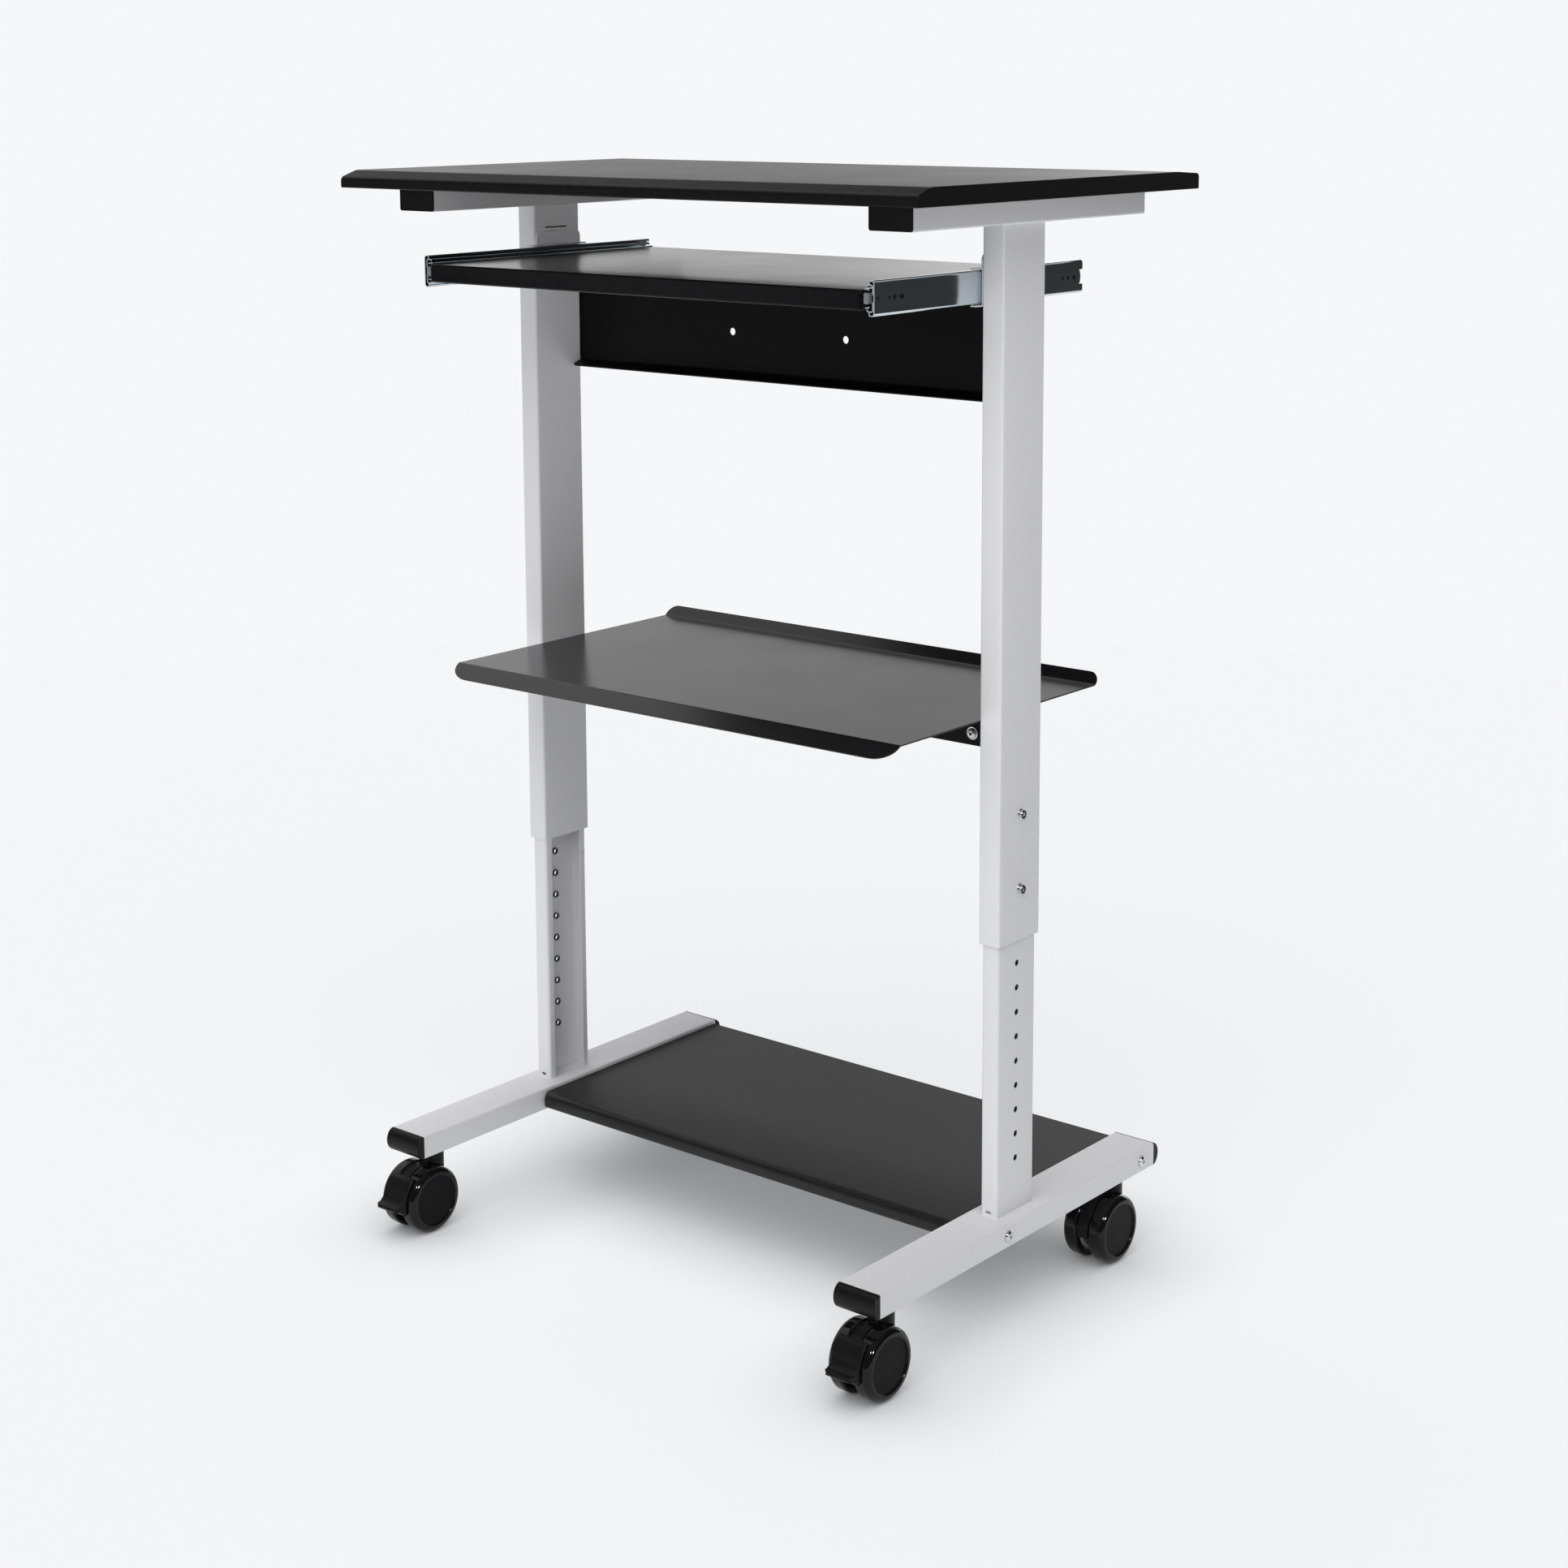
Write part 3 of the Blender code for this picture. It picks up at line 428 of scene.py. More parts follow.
# ---- base ------------------------------------------------------------
def build_leg(label, side):
    name = f"{label}_base_leg"
    low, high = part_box(name)
    piece(name + "_tube", tubing(bmesh.new(), low, high, 0.002, 0.0022, "Y"), POWDER, "base",
          [name])
    for word, way in ENDS:
        build_leg_cap(f"{label}_{word}_leg_cap", low, high, way)
        node = f"{label}_{word}_shelf_bolt"
        a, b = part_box(node)
        centre = (high.x if side > 0 else low.x, (a.y + b.y) / 2, (a.z + b.z) / 2)
        piece(node + "_head", bolt_mesh(centre, "X", side, "button"), BOLT_ZINC, "base", [node])


def build_leg_cap(node, leg_low, leg_high, way):
    """Half-round cap over the tube's end, with its plug inside the tube."""
    low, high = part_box(node)
    end = leg_high.y if way > 0 else leg_low.y
    tip = high.y if way > 0 else low.y
    middle, half = (leg_low.z + leg_high.z) / 2, (leg_high.z - leg_low.z) / 2
    reach = abs(tip - end)
    outline = [(end + way * y, middle + z) for y, z in arc((0, 0), (reach, half), -90, 90, 28)]
    bm = prism(bmesh.new(), outline, "X", leg_low.x + 0.0003, leg_high.x - 0.0003)
    piece(node + "_cover", bm, PLASTIC, "base", [node], bevel=0.0012)
    wall = 0.0028
    near, far = sorted((end - way * 0.014, end + way * 0.002))
    inside = bmesh.new()
    box(inside, (leg_low.x + wall, near, leg_low.z + wall), (leg_high.x - wall, far, leg_high.z - wall))
    piece(node + "_plug", inside, PLASTIC, "base", bevel=0.0008)


def build_column(label, side):
    """Channel open to the inside, with threaded inserts in the holes of its web."""
    name = f"{label}_lower_column"
    low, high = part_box(name)
    wall, lip, radius = 0.002, 0.008, 0.0024
    web, inner = (high.x, low.x) if side > 0 else (low.x, high.x)
    web, inner = web - side * wall / 2, inner + side * wall / 2
    front, rear = low.y + wall / 2, high.y - wall / 2
    corners = [(inner, rear - lip), (inner, rear), (web, rear), (web, front), (inner, front)]
    corners += [(inner, front + lip)]
    outline = band(rounded_path(corners, [radius] * 4), wall)
    bm = prism(bmesh.new(), outline, "Z", low.z, high.z)
    middle_y = (low.y + high.y) / 2
    cutters = [slot_cutter(low, wall)]
    height_hole, lip_hole = rod_profile(0.0034, -0.004, 0.004), rod_profile(0.0012, -0.004, 0.004)
    for z in HOLE_HEIGHTS:
        cutters.append(lathe(bmesh.new(), height_hole, "X", (web, middle_y, z), 24))
    cutters.append(lathe(bmesh.new(), lip_hole, "X", (inner, rear - lip * 0.45, LIP_HOLE_Z), 14))
    piece(name + "_channel", carved(bm, cutters), POWDER, "base", [name])

    inserts = bmesh.new()
    for z in HOLE_HEIGHTS:
        ring = [(0.0028, 0.0002), (0.0033, 0.0002), (0.0033, -0.0012), (0.0038, -0.0012)]
        ring += [(0.0038, -0.0026), (0.0036, -0.0029), (0.0028, -0.0029)]
        lathe(inserts, [(r, side * h) for r, h in ring], "X", (web, middle_y, z), 24)
    piece(f"{label}_column_inserts", inserts, DARK_STEEL_AND_PAINTED_REFLECTION, "base")
    bead = weld_bead(bmesh.new(), (low.x, low.y), (high.x, high.y), low.z - 0.0002, 1, 0.0008, 0.0026)
    piece(f"{label}_column_weld", bead, POWDER, "base")


def slot_cutter(low, wall):
    """The drain slot in the front flange, just above the leg."""
    width, height, above = 0.0070, 0.0032, 0.0030
    x = low.x + 0.010
    outline = rounded_rectangle((x - width / 2, low.z + above), (x + width / 2, low.z + above + height),
                                height / 2 - 0.0001, 4)
    return prism(bmesh.new(), outline, "Y", low.y - wall, low.y + 2 * wall)


def board(bm, low, high, section, corner):
    """A board along X whose section is (y, z) points and whose front corners are round in plan."""
    stations = [0, 0.06, 0.2, 0.4, 0.65, 1]
    places = [low.x + corner * t for t in stations] + [high.x - corner * t for t in stations[::-1]]
    drops = [corner * (1 - math.sqrt(max(0.0, 1 - (1 - t) ** 2))) for t in stations]
    rings = []
    for x, drop in zip(places, drops + drops[::-1]):
        ring = []
        for y, z in section:
            near = max(0.0, 1 - (y - low.y) / (3 * corner))
            ring.append((x, y + drop * near, z))
        rings.append(ring)
    loft(bm, rings)
    return bm


def build_bottom_shelf():
    low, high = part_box("bottom_shelf")
    nose = 0.0075
    section = [(high.y, low.z), (high.y, high.z), (low.y + 0.10, high.z)]
    section += arc((low.y + nose, high.z - nose), nose, 90, 180, 8)
    section += arc((low.y + 0.003, low.z + 0.003), 0.003, 180, 270, 4) + [(low.y + 0.10, low.z)]
    bm = board(bmesh.new(), low, high, section, 0.006)
    piece("bottom_shelf_board", bm, BOARD_FOIL, "base", ["bottom_shelf"], bevel=0.0008,
          angle=60)


# ---- casters ---------------------------------------------------------
def build_wheel(label, way_word, way):
    """Twin-wheel half: a flat recessed disc inside a glossy round rim, hollow on its inner side."""
    node = f"{label}_caster_{way_word}_wheel"
    low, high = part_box(node)
    centre = (low + high) / 2
    half, radius = (high.x - low.x) / 2, (high.z - low.z) / 2
    lip = radius * 0.785
    profile = [(0.0, half - 0.0018), (lip - 0.0012, half - 0.0018)]
    profile += arc((lip - 0.0012, half - 0.0012), 0.0006, -90, 0, 3)
    profile += arc((lip, half - 0.0007), 0.0006, 180, 60, 4)
    profile += arc((radius - 0.0072, half - 0.0072), (0.0072, 0.0071), 84, 0, 14)
    profile += [(radius, -half + 0.003)] + arc((radius - 0.0028, -half + 0.0028), 0.0028, 0, -90, 6)
    inner = radius * 0.62
    profile += [(inner + 0.002, -half), (inner, -half + 0.002), (0.0085, -half + 0.0045)]
    profile += [(0.0085, -half + 0.0004), (0.0046, -half + 0.0004), (0.0046, 0.002), (0.0, 0.002)]
    bm = lathe(bmesh.new(), [(r, way * h) for r, h in profile], "X", centre, 72)
    bm.faces.ensure_lookup_table()
    for face in bm.faces:
        middle = face.calc_center_median() - centre
        inside_lip = math.hypot(middle.y, middle.z) < lip - 0.0010
        face.material_index = 0 if inside_lip else 1
    piece(node + "_moulding", bm, (DISC, GLOSS), node, [node], angle=50)


def build_caster(label, word):
    name = f"{label}_{word}"
    hood_node, body = f"{name}_caster_hood", f"{name}_caster"
    hood_low, hood_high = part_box(hood_node)
    wheel_low, wheel_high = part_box(f"{name}_caster_left_wheel")
    stem_low, stem_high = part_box(f"{name}_caster_stem")
    axle = (wheel_low + wheel_high) / 2
    stem = (stem_low + stem_high) / 2
    x, trail = stem.x, stem.y - axle.y
    for way_word, way in SIDES:
        build_wheel(name, way_word, way)

    neck, tread, clearance = 0.0135, (wheel_high.z - wheel_low.z) / 2, 0.0012
    top = hood_high.z - axle.z
    outline = arc((0, 0), 0.0350, 187, 84, 40)
    outline += [(trail - neck + 0.002, top - 0.001), (trail + neck - 0.001, top - 0.001)]
    outline += [(trail + neck - 0.001, 0.018), (0.0215, 0.004)]
    outline += arc((0, 0), 0.0125, -5, -180, 20) + arc((0, 0), 0.0275, 150, 187, 8)
    outline = [(axle.y + u, axle.z + v) for u, v in outline]
    bm = prism(bmesh.new(), outline, "X", x - 0.0065, x + 0.0065)
    piece(f"{name}_caster_hood_shell", bm, PLASTIC, body, [hood_node], bevel=0.0011)

    collar = [(0.0, top), (neck - 0.0006, top), (neck, top - 0.0006), (neck, 0.006), (0.0, 0.006)]
    saddle = lathe(bmesh.new(), collar, "Z", (x, stem.y, axle.z), 56)
    room = rod_profile(tread + clearance, 0.03, -0.03)
    rolling = lathe(bmesh.new(), room, "X", (x, axle.y, axle.z), 72)
    bore = lathe(bmesh.new(), rod_profile(0.0056, 0.05, 0.0), "Z", (x, stem.y, axle.z), 28)
    piece(f"{name}_caster_neck", carved(saddle, [rolling, bore]), PLASTIC, body)
    hub = [(0.0046, 0.0068), (0.0098, 0.0068), (0.0104, 0.0062), (0.0104, -0.0062), (0.0098, -0.0068)]
    hub += [(0.0046, -0.0068)]
    piece(f"{name}_caster_hub_ring", lathe(bmesh.new(), hub, "X", (x, axle.y, axle.z), 40), PLASTIC, body)
    build_fender_ribs(name, body, x, axle)

    pin = [(0.0, stem_high.z), (0.0042, stem_high.z), (0.0052, stem_high.z - 0.001)]
    pin += [(0.0052, stem_low.z + 0.001), (0.0042, stem_low.z), (0.0, stem_low.z)]
    piece(f"{name}_caster_stem_pin", lathe(bmesh.new(), pin, "Z", (x, stem.y, 0), 28), BOLT_ZINC, "base",
          [f"{name}_caster_stem"])
    axle_low, axle_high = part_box(f"{name}_caster_axle")
    half = (axle_high.x - axle_low.x) / 2
    rod = [(0.0, half), (0.0034, half), (0.0040, half - 0.0006), (0.0040, -half + 0.0006)]
    rod += [(0.0034, -half), (0.0, -half)]
    piece(f"{name}_caster_axle_rod", lathe(bmesh.new(), rod, "X", (x, axle.y, axle.z), 28), BOLT_ZINC, body,
          [f"{name}_caster_axle"])


def build_fender_ribs(name, body, x, axle):
    """Two slim raised borders along the hood's band."""
    bm = bmesh.new()
    for side in (-1, 1):
        a, b = sorted((x + side * 0.0064, x + side * 0.0048))
        outline = arc((0, 0), 0.0357, 186, 92, 36) + arc((0, 0), 0.0345, 92, 186, 36)
        prism(bm, [(axle.y + u, axle.z + v) for u, v in outline], "X", a, b)
    piece(f"{name}_caster_fender_borders", bm, PLASTIC, body, bevel=0.0004, segments=2)


def build_brake_pedal(label):
    """Curved pedal with grip ribs near its hinge, a concave flare and a round toe."""
    node = f"{label}_front_brake_pedal"
    low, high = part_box(node)
    wheel_low, wheel_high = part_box(f"{label}_front_caster_left_wheel")
    axle = (wheel_low + wheel_high) / 2
    x, half = (low.x + high.x) / 2, (high.x - low.x) / 2
    toe = axle.y - low.y
    outer, inner, top_angle = 0.0400, 0.0369, 129
    upper = [((outer - taper) * math.cos(a), (outer - taper) * math.sin(a)) for a, taper in
             [(math.radians(top_angle + t), 0.0018 * max(0.0, 1 - t / 9)) for t in range(0, 32, 2)]]
    upper += rounded_path([upper[-1], (-0.0402, 0.0080), (-0.0452, 0.0036), (-toe + 0.003, 0.0030)],
                          [0.006, 0.008], 6)[1:]
    upper += arc((-toe + 0.0026, 0.0004), 0.0026, 90, 180, 5)[1:]
    lower = arc((0, 0), inner, top_angle, 193, 24)
    lower += [(-0.0385, -0.0085), (-0.0412, -0.0062), (-0.0432, -0.0042), (-0.0452, -0.0028)]
    lower += [(-0.0472, -0.0020)] + arc((-toe + 0.0026, 0.0004), 0.0026, 270, 180, 4)[:-1]
    outline = upper + lower[::-1]
    corner = 0.0042

    def half_width(u):
        """Half the pedal's width at a place forward of the axle: its toe corners are round."""
        past = min(max(0.0, (-u - (toe - corner)) / corner), 1.0)
        waist = 0.0012 * max(0.0, min(1.0, (-u - 0.036) / 0.006))
        return half - waist - corner * 0.9 * (1 - math.sqrt(1 - past * past))

    rings = [[(x + s * half_width(u), axle.y + u, axle.z + v) for u, v in outline]
             for s in (-1, -0.5, 0, 0.5, 1)]
    bm = bmesh.new()
    loft(bm, rings)
    piece(node + "_lever", bm, PLASTIC, node, [node], bevel=0.0009, angle=42)
    ribs = bmesh.new()
    tip = half - 0.003
    rib = [(0.0, tip), (0.0006, half - 0.0032), (0.0006, -half + 0.0032), (0.0, -tip)]
    for k in range(5):
        angle = math.radians(137 + 4.2 * k)
        u, v = outer * math.cos(angle), outer * math.sin(angle)
        lathe(ribs, rib, "X", (x, axle.y + u, axle.z + v), 10)
    piece(node + "_ribs", ribs, PLASTIC, node)


# ---- upper frame -----------------------------------------------------
def build_upright(label, side):
    name = f"{label}_upright_tube"
    low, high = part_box(name)
    wall, width = 0.002, 0.025
    outer_x = high.x if side > 0 else low.x
    inner_x = outer_x - side * width
    a, b = Vector(low), Vector(high)
    a.x, b.x = min(outer_x, inner_x), max(outer_x, inner_x)
    bm = tubing(bmesh.new(), a, b, wall, 0.0026, "Z")
    piece(name + "_section", bm, POWDER, "upper_frame", [name])
    bead = weld_bead(bmesh.new(), (a.x, a.y), (b.x, b.y), high.z + 0.0002, -1)
    piece(f"{label}_upright_weld", bead, POWDER, "upper_frame")

    bar_low, bar_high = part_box("shelf_crossbar")
    tip = low.x if side > 0 else high.x
    ear_low = Vector((min(tip, inner_x + side * 0.001), bar_low.y + 0.0023, bar_low.z + 0.001))
    ear_high = Vector((max(tip, inner_x + side * 0.001), bar_low.y + 0.0048, bar_high.z - 0.004))
    outline = rounded_rectangle((ear_low.x, ear_low.z), (ear_high.x, ear_high.z), 0.003, 4)
    piece(f"{label}_crossbar_ear", prism(bmesh.new(), outline, "Y", ear_low.y, ear_high.y), POWDER,
          "upper_frame", bevel=0.0004, segments=2)
    place = (inner_x - side * 0.0175, bar_low.y, (bar_low.z + bar_high.z) / 2 - 0.0005)
    piece(f"{label}_crossbar_bolt", bolt_mesh(place, "Y", -1, "flanged"), BOLT_ZINC, "upper_frame")
    for word in ("lower", "upper"):
        node = f"{label}_{word}_height_bolt"
        p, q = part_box(node)
        centre = (outer_x, (p.y + q.y) / 2, (p.z + q.z) / 2)
        # The cap heads' flat faces get the dark material as a painted reflection of the dark room.
        piece(node + "_head", bolt_mesh(centre, "X", side, "cap"), (BOLT_ZINC, DARK_STEEL_AND_PAINTED_REFLECTION), "upper_frame",
              [node])


def build_rail(label):
    name = f"{label}_top_rail"
    low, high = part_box(name)
    piece(name + "_tube", tubing(bmesh.new(), low, high, 0.002, 0.0022, "Y"), POWDER, "upper_frame",
          [name])
    for word, way in ENDS:
        node = f"{label}_{word}_rail_cap"
        a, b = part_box(node)
        face = b.y if way > 0 else a.y
        back = face - way * 0.0015
        corner_low, corner_high = (low.x + 0.0001, low.z + 0.0001), (high.x - 0.0001, high.z - 0.0001)
        outline = rounded_rectangle(corner_low, corner_high, 0.0026, 5)
        bm = prism(bmesh.new(), outline, "Y", min(face, back), max(face, back))
        if way < 0:
            border, sunk = 0.0016, 0.0004
            panel = rounded_rectangle((low.x + border, low.z + border), (high.x - border, high.z - border),
                                      0.0016, 5)
            cut = prism(bmesh.new(), panel, "Y", face - 0.001, face + sunk)
            bm = carved(bm, [cut])
        material, slot = (PLASTIC, PLASTIC_SLOT) if way < 0 else (POWDER, POWDER_SLOT)
        piece(node + "_cover", bm, material, "upper_frame", [node],
              bevel=0.0004 if way < 0 else 0.0012, segments=2)
        inset = 0.0026
        near, far = sorted((back + way * 0.0004, back - way * 0.0125))
        inside = bmesh.new()
        box(inside, (low.x + inset, near, low.z + inset), (high.x - inset, far, high.z - inset))
        piece(node + "_plug", inside, material, "upper_frame", bevel=0.0006, segments=2)


def build_worktop():
    """Board with a sloped and rounded front edge and a shallow fall at the rear."""
    low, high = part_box("worktop")
    slope, drop, nose, ease = 0.022, 0.0055, 0.0055, 0.0035
    section = [(high.y, low.z + 0.0008), (high.y - 0.0008, low.z)][::-1]
    rear_ease, rear_drop = 0.040, 0.0022
    section += arc((high.y - 0.004, high.z - rear_drop - 0.004), 0.004, 0, 90, 6)
    section += [(high.y - rear_ease, high.z)]
    start = low.y + slope
    section += [(start + ease, high.z), (start + ease * 0.4, high.z - 0.0001)]
    section += [(start - ease * 0.4, high.z - 0.0004), (start - ease, high.z - 0.0010)]
    nose_z = high.z - drop - nose
    section += arc((low.y + nose, nose_z), nose, 104, 180, 9)
    section += arc((low.y + 0.0015, low.z + 0.0015), 0.0015, 180, 270, 3)
    bm = prism(bmesh.new(), section, "X", low.x, high.x)
    piece("worktop_board", bm, WORKTOP_FOIL, "upper_frame", ["worktop"], bevel=0.0008,
          angle=55)


def bent_sheet(bm, path, widths, thick, middle=0.0):
    """A sheet whose upper face follows a (y, z) path, as wide to each side as widths says."""
    below = offset(path, -thick)
    rings = []
    for (y, z), (y2, z2), w in zip(path, below, widths):
        rings.append([(middle - w, y, z), (middle + w, y, z), (middle + w, y2, z2), (middle - w, y2, z2)])
    loft(bm, rings)
    return bm


def lip_width(half, wide, deep, left):
    """Half width of a sheet at a distance from its free edge, its corners rounded wide by deep."""
    past = min(1.0, max(0.0, 1 - left / deep))
    return half - wide * (1 - math.sqrt(1 - past * past))


def path_lengths(path):
    total, made = 0.0, [0.0]
    for a, b in zip(path, path[1:]):
        total += (Vector(b) - Vector(a)).length
        made.append(total)
    return made


def subdivided(a, b, shares):
    return [tuple(Vector(a).lerp(Vector(b), s)) for s in shares]


def build_middle_shelf():
    """Bent sheet: the front lip slopes down, the rear lip up, their corners fully round."""
    low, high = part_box("middle_shelf")
    thick, front_reach, rear_reach = 0.0015, 0.017, 0.011
    drop, rise = 0.0120, 0.0111
    top = high.z - rise
    bend = 0.0025
    front, rear = (low.y, top - drop), (high.y, top + rise)
    corners = [rear, (rear[0] - rear_reach, top), (front[0] + front_reach, top), front]
    path = rounded_path(corners, [bend, bend], 5)
    shares = [i / 9 for i in range(9)]
    shares = [1 - math.cos(s * math.pi / 2) for s in shares]
    path = subdivided(path[0], path[1], shares) + path[1:-1]
    path += subdivided(front, path[-1], shares)[::-1]
    run = path_lengths(path)
    half = high.x
    widths = []
    for s in run:
        widths.append(min(lip_width(half, 0.0125, 0.0125, s), lip_width(half, 0.026, 0.0195, run[-1] - s)))
    bm = bent_sheet(bmesh.new(), path[::-1], widths[::-1], -thick)
    piece("middle_shelf_sheet", bm, SHEET_PAINT, "upper_frame", ["middle_shelf"], bevel=0.0004,
          segments=2, angle=50)


def build_modesty_panel():
    """Sheet behind the uprights, its lower edge bent forward, with two through-holes."""
    low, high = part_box("modesty_panel")
    thick, reach, drop = 0.0015, 0.0155, 0.0055
    front = high.y - thick
    bottom = low.z + drop
    path = rounded_path([(front, high.z), (front, bottom), (front - reach, bottom - drop)], [0.003], 6)
    edge = path[-1]
    path = path[:-1] + subdivided(edge, path[-2], [0, 0.1, 0.25, 0.5])[::-1]
    run = path_lengths(path)
    plate, lip = high.x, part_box("right_upright_tube")[1].x - 0.0256
    widths = [plate if z > bottom + 0.0001 else lip_width(lip, 0.005, 0.005, run[-1] - s)
              for (y, z), s in zip(path, run)]
    bm = bent_sheet(bmesh.new(), path, widths, -thick)
    holes = []
    for x in (-PANEL_HOLE_X, PANEL_HOLE_X):
        pin = rod_profile(0.004, -0.01, 0.01)
        holes.append(lathe(bmesh.new(), pin, "Y", (x, front, PANEL_HOLE_Z), 32))
    piece("modesty_panel_sheet", carved(bm, holes), PANEL_PAINT, "upper_frame",
          ["modesty_panel"], angle=30)


def build_crossbar():
    low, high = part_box("shelf_crossbar")
    wall = 0.002
    corners = [(low.y + wall / 2, low.z), (low.y + wall / 2, high.z - wall / 2), (high.y, high.z - wall / 2)]
    outline = band(rounded_path(corners, [0.0022]), wall)
    bm = prism(bmesh.new(), outline, "X", low.x, high.x)
    piece("shelf_crossbar_angle", bm, PANEL_PAINT, "upper_frame", ["shelf_crossbar"],
          bevel=0.0003, segments=2, angle=60)


# ---- keyboard tray and slides ----------------------------------------
def build_tray():
    low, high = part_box("keyboard_tray")
    edge = 0.0022
    section = [(high.y, low.z), (high.y, high.z), (low.y + 0.05, high.z)]
    section += arc((low.y + edge, high.z - edge), edge, 90, 180, 6)
    section += arc((low.y + edge, low.z + edge), edge, 180, 270, 6) + [(low.y + 0.05, low.z)]
    bm = board(bmesh.new(), low, high, section, 0.0035)
    piece("keyboard_tray_board", bm, TRAY_FOIL, "keyboard_tray", ["keyboard_tray"],
          bevel=0.0007, angle=60)


def pill(web, y, z, width, height):
    """A cutter through the web: round, tall or wide as its sizes say."""
    radius = min(width, height) / 2 - 0.00005
    outline = rounded_rectangle((y - width / 2, z - height / 2), (y + width / 2, z + height / 2), radius, 6)
    return prism(bmesh.new(), outline, "X", web - 0.003, web + 0.003)


def hole_cutters(web, z, front, rear):
    """The outer member's holes: round, round, tall and wide in front; two, one and a notch behind."""
    made = [pill(web, front + 0.0050, z, 0.0037, 0.0037), pill(web, front + 0.0228, z, 0.0039, 0.0039)]
    made += [pill(web, front + 0.0305, z, 0.0042, 0.0060), pill(web, front + 0.0414, z, 0.0074, 0.0042)]
    made += [pill(web, rear - 0.0350, z, 0.0036, 0.0042), pill(web, rear - 0.0262, z, 0.0036, 0.0042)]
    made += [pill(web, rear - 0.0146, z, 0.0052, 0.0050)]
    depth, half, bulge = 0.0062, 0.0075, 0.0026
    notch = [(rear + 0.002, z + half), (rear - depth, z + half - 0.0006)]
    notch += [(rear - depth + bulge * math.cos(t), z + 0.0068 * math.sin(t))
              for t in [math.radians(90 - 15 * i) for i in range(13)]]
    notch += [(rear - depth, z - half + 0.0006), (rear + 0.002, z - half)]
    made += [prism(bmesh.new(), notch, "X", web - 0.003, web + 0.003)]
    return made


def build_slide(label, side):
    """Nested rolled sections with ball races between them."""
    outer = f"{label}_slide_outer_member"
    low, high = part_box(outer)
    front, rear = low.y, high.y
    middle = (low.z + high.z) / 2
    web = high.x if side > 0 else low.x
    wall = 0.0011

    def section(points, radii):
        """Middle line given as (depth from the slide's outer face, height) pairs, upper half first."""
        points = points + [(u, -v) for u, v in points[::-1]]
        path = [(web - side * u, middle + v) for u, v in points]
        return band(rounded_path(path, radii + radii[::-1], 4), wall)

    half = (high.z - low.z) / 2 - wall / 2
    d = wall / 2
    points = [(0.0054, half - 0.0030), (0.0064, half - 0.0014), (0.0054, half), (d, half)]
    bm = prism(bmesh.new(), section(points, [0.0006, 0.0009, 0.0026]), "Y", front, rear)
    bm = carved(bm, hole_cutters(web, middle, front, rear))
    piece(outer + "_rolled", bm, SLIDE_ZINC, "upper_frame", [outer], angle=30)

    body = f"{label}_slide_intermediate"
    node = f"{label}_slide_intermediate_member"
    reach = half - 0.0038
    points = [(0.0093, reach - 0.0019), (0.0087, reach), (0.0027, reach), (0.0027, reach - 0.0076)]
    points += [(0.0042, reach - 0.0096)]
    bm = prism(bmesh.new(), section(points, [0.0008, 0.0016, 0.0012, 0.0012]), "Y", front + 0.0010,
               rear - 0.0030)
    piece(node + "_rolled", bm, SLIDE_ZINC, body, [node], angle=30)

    inner_face = 0.0122
    node = f"{label}_slide_inner_member"
    points = [(0.0062, 0.0074), (0.0070, 0.0086), (inner_face - d, 0.0086)]
    bm = prism(bmesh.new(), section(points, [0.0008, 0.0018]), "Y", front, rear)
    piece(node + "_rolled", bm, SLIDE_ZINC, "keyboard_tray", [node], angle=30)

    a, b = sorted((web - side * 0.0056, web - side * (inner_face - wall - 0.0001)))
    outline = rounded_rectangle((a, middle - 0.0051), (b, middle + 0.0051), 0.0012, 4)
    tab = prism(bmesh.new(), outline, "Y", front - 0.0022, front + 0.010)
    piece(f"{label}_slide_end_tab", tab, GREY_TAB, "keyboard_tray", bevel=0.0004, segments=2)

    # Painted shade: black blocks just behind the web at both ends make the web's holes look dark, as the
    # slide's shaded inside would.
    painted_shade_liners = bmesh.new()
    for near, far in ((front + 0.0015, front + 0.0500), (rear - 0.0400, rear - 0.0085)):
        a, b = sorted((web - side * 0.00115, web - side * 0.00195))
        outline = rounded_rectangle((near, middle - 0.0060), (far, middle + 0.0060), 0.0015, 3)
        prism(painted_shade_liners, outline, "X", a, b)
    piece(f"{label}_slide_painted_shade_liners", painted_shade_liners, PLASTIC, "upper_frame")
    build_ball_races(label, side, web, middle, front, rear, half, body)
    build_bracket(label, side)


def build_ball_races(label, side, web, middle, front, rear, half, body):
    """Balls in thin cages between the members, above and below."""
    balls, cages = bmesh.new(), bmesh.new()
    pitch, first = 0.0085, front + 0.016
    rows = ((0.0040, half - 0.0019, 0.00125), (0.0074, half - 0.0056, 0.0011))
    for depth, height, radius in rows:
        for up in (-1, 1):
            x, z = web - side * depth, middle + up * height
            count = int((rear - first - 0.03) / pitch)
            for i in range(count):
                place = Vector((x, first + i * pitch, z))
                bmesh.ops.create_icosphere(balls, subdivisions=2, radius=radius,
                                           matrix=Matrix.Translation(place))
            a, b = sorted((x - side * 0.0002, x + side * 0.0002))
            box(cages, (a, first - 0.006, z - radius * 0.75), (b, first + count * pitch, z + radius * 0.75))
    for face in balls.faces:
        face.smooth = True
    piece(f"{label}_slide_balls", balls, BEARING, body)
    piece(f"{label}_slide_ball_cages", cages, SLIDE_ZINC, body)


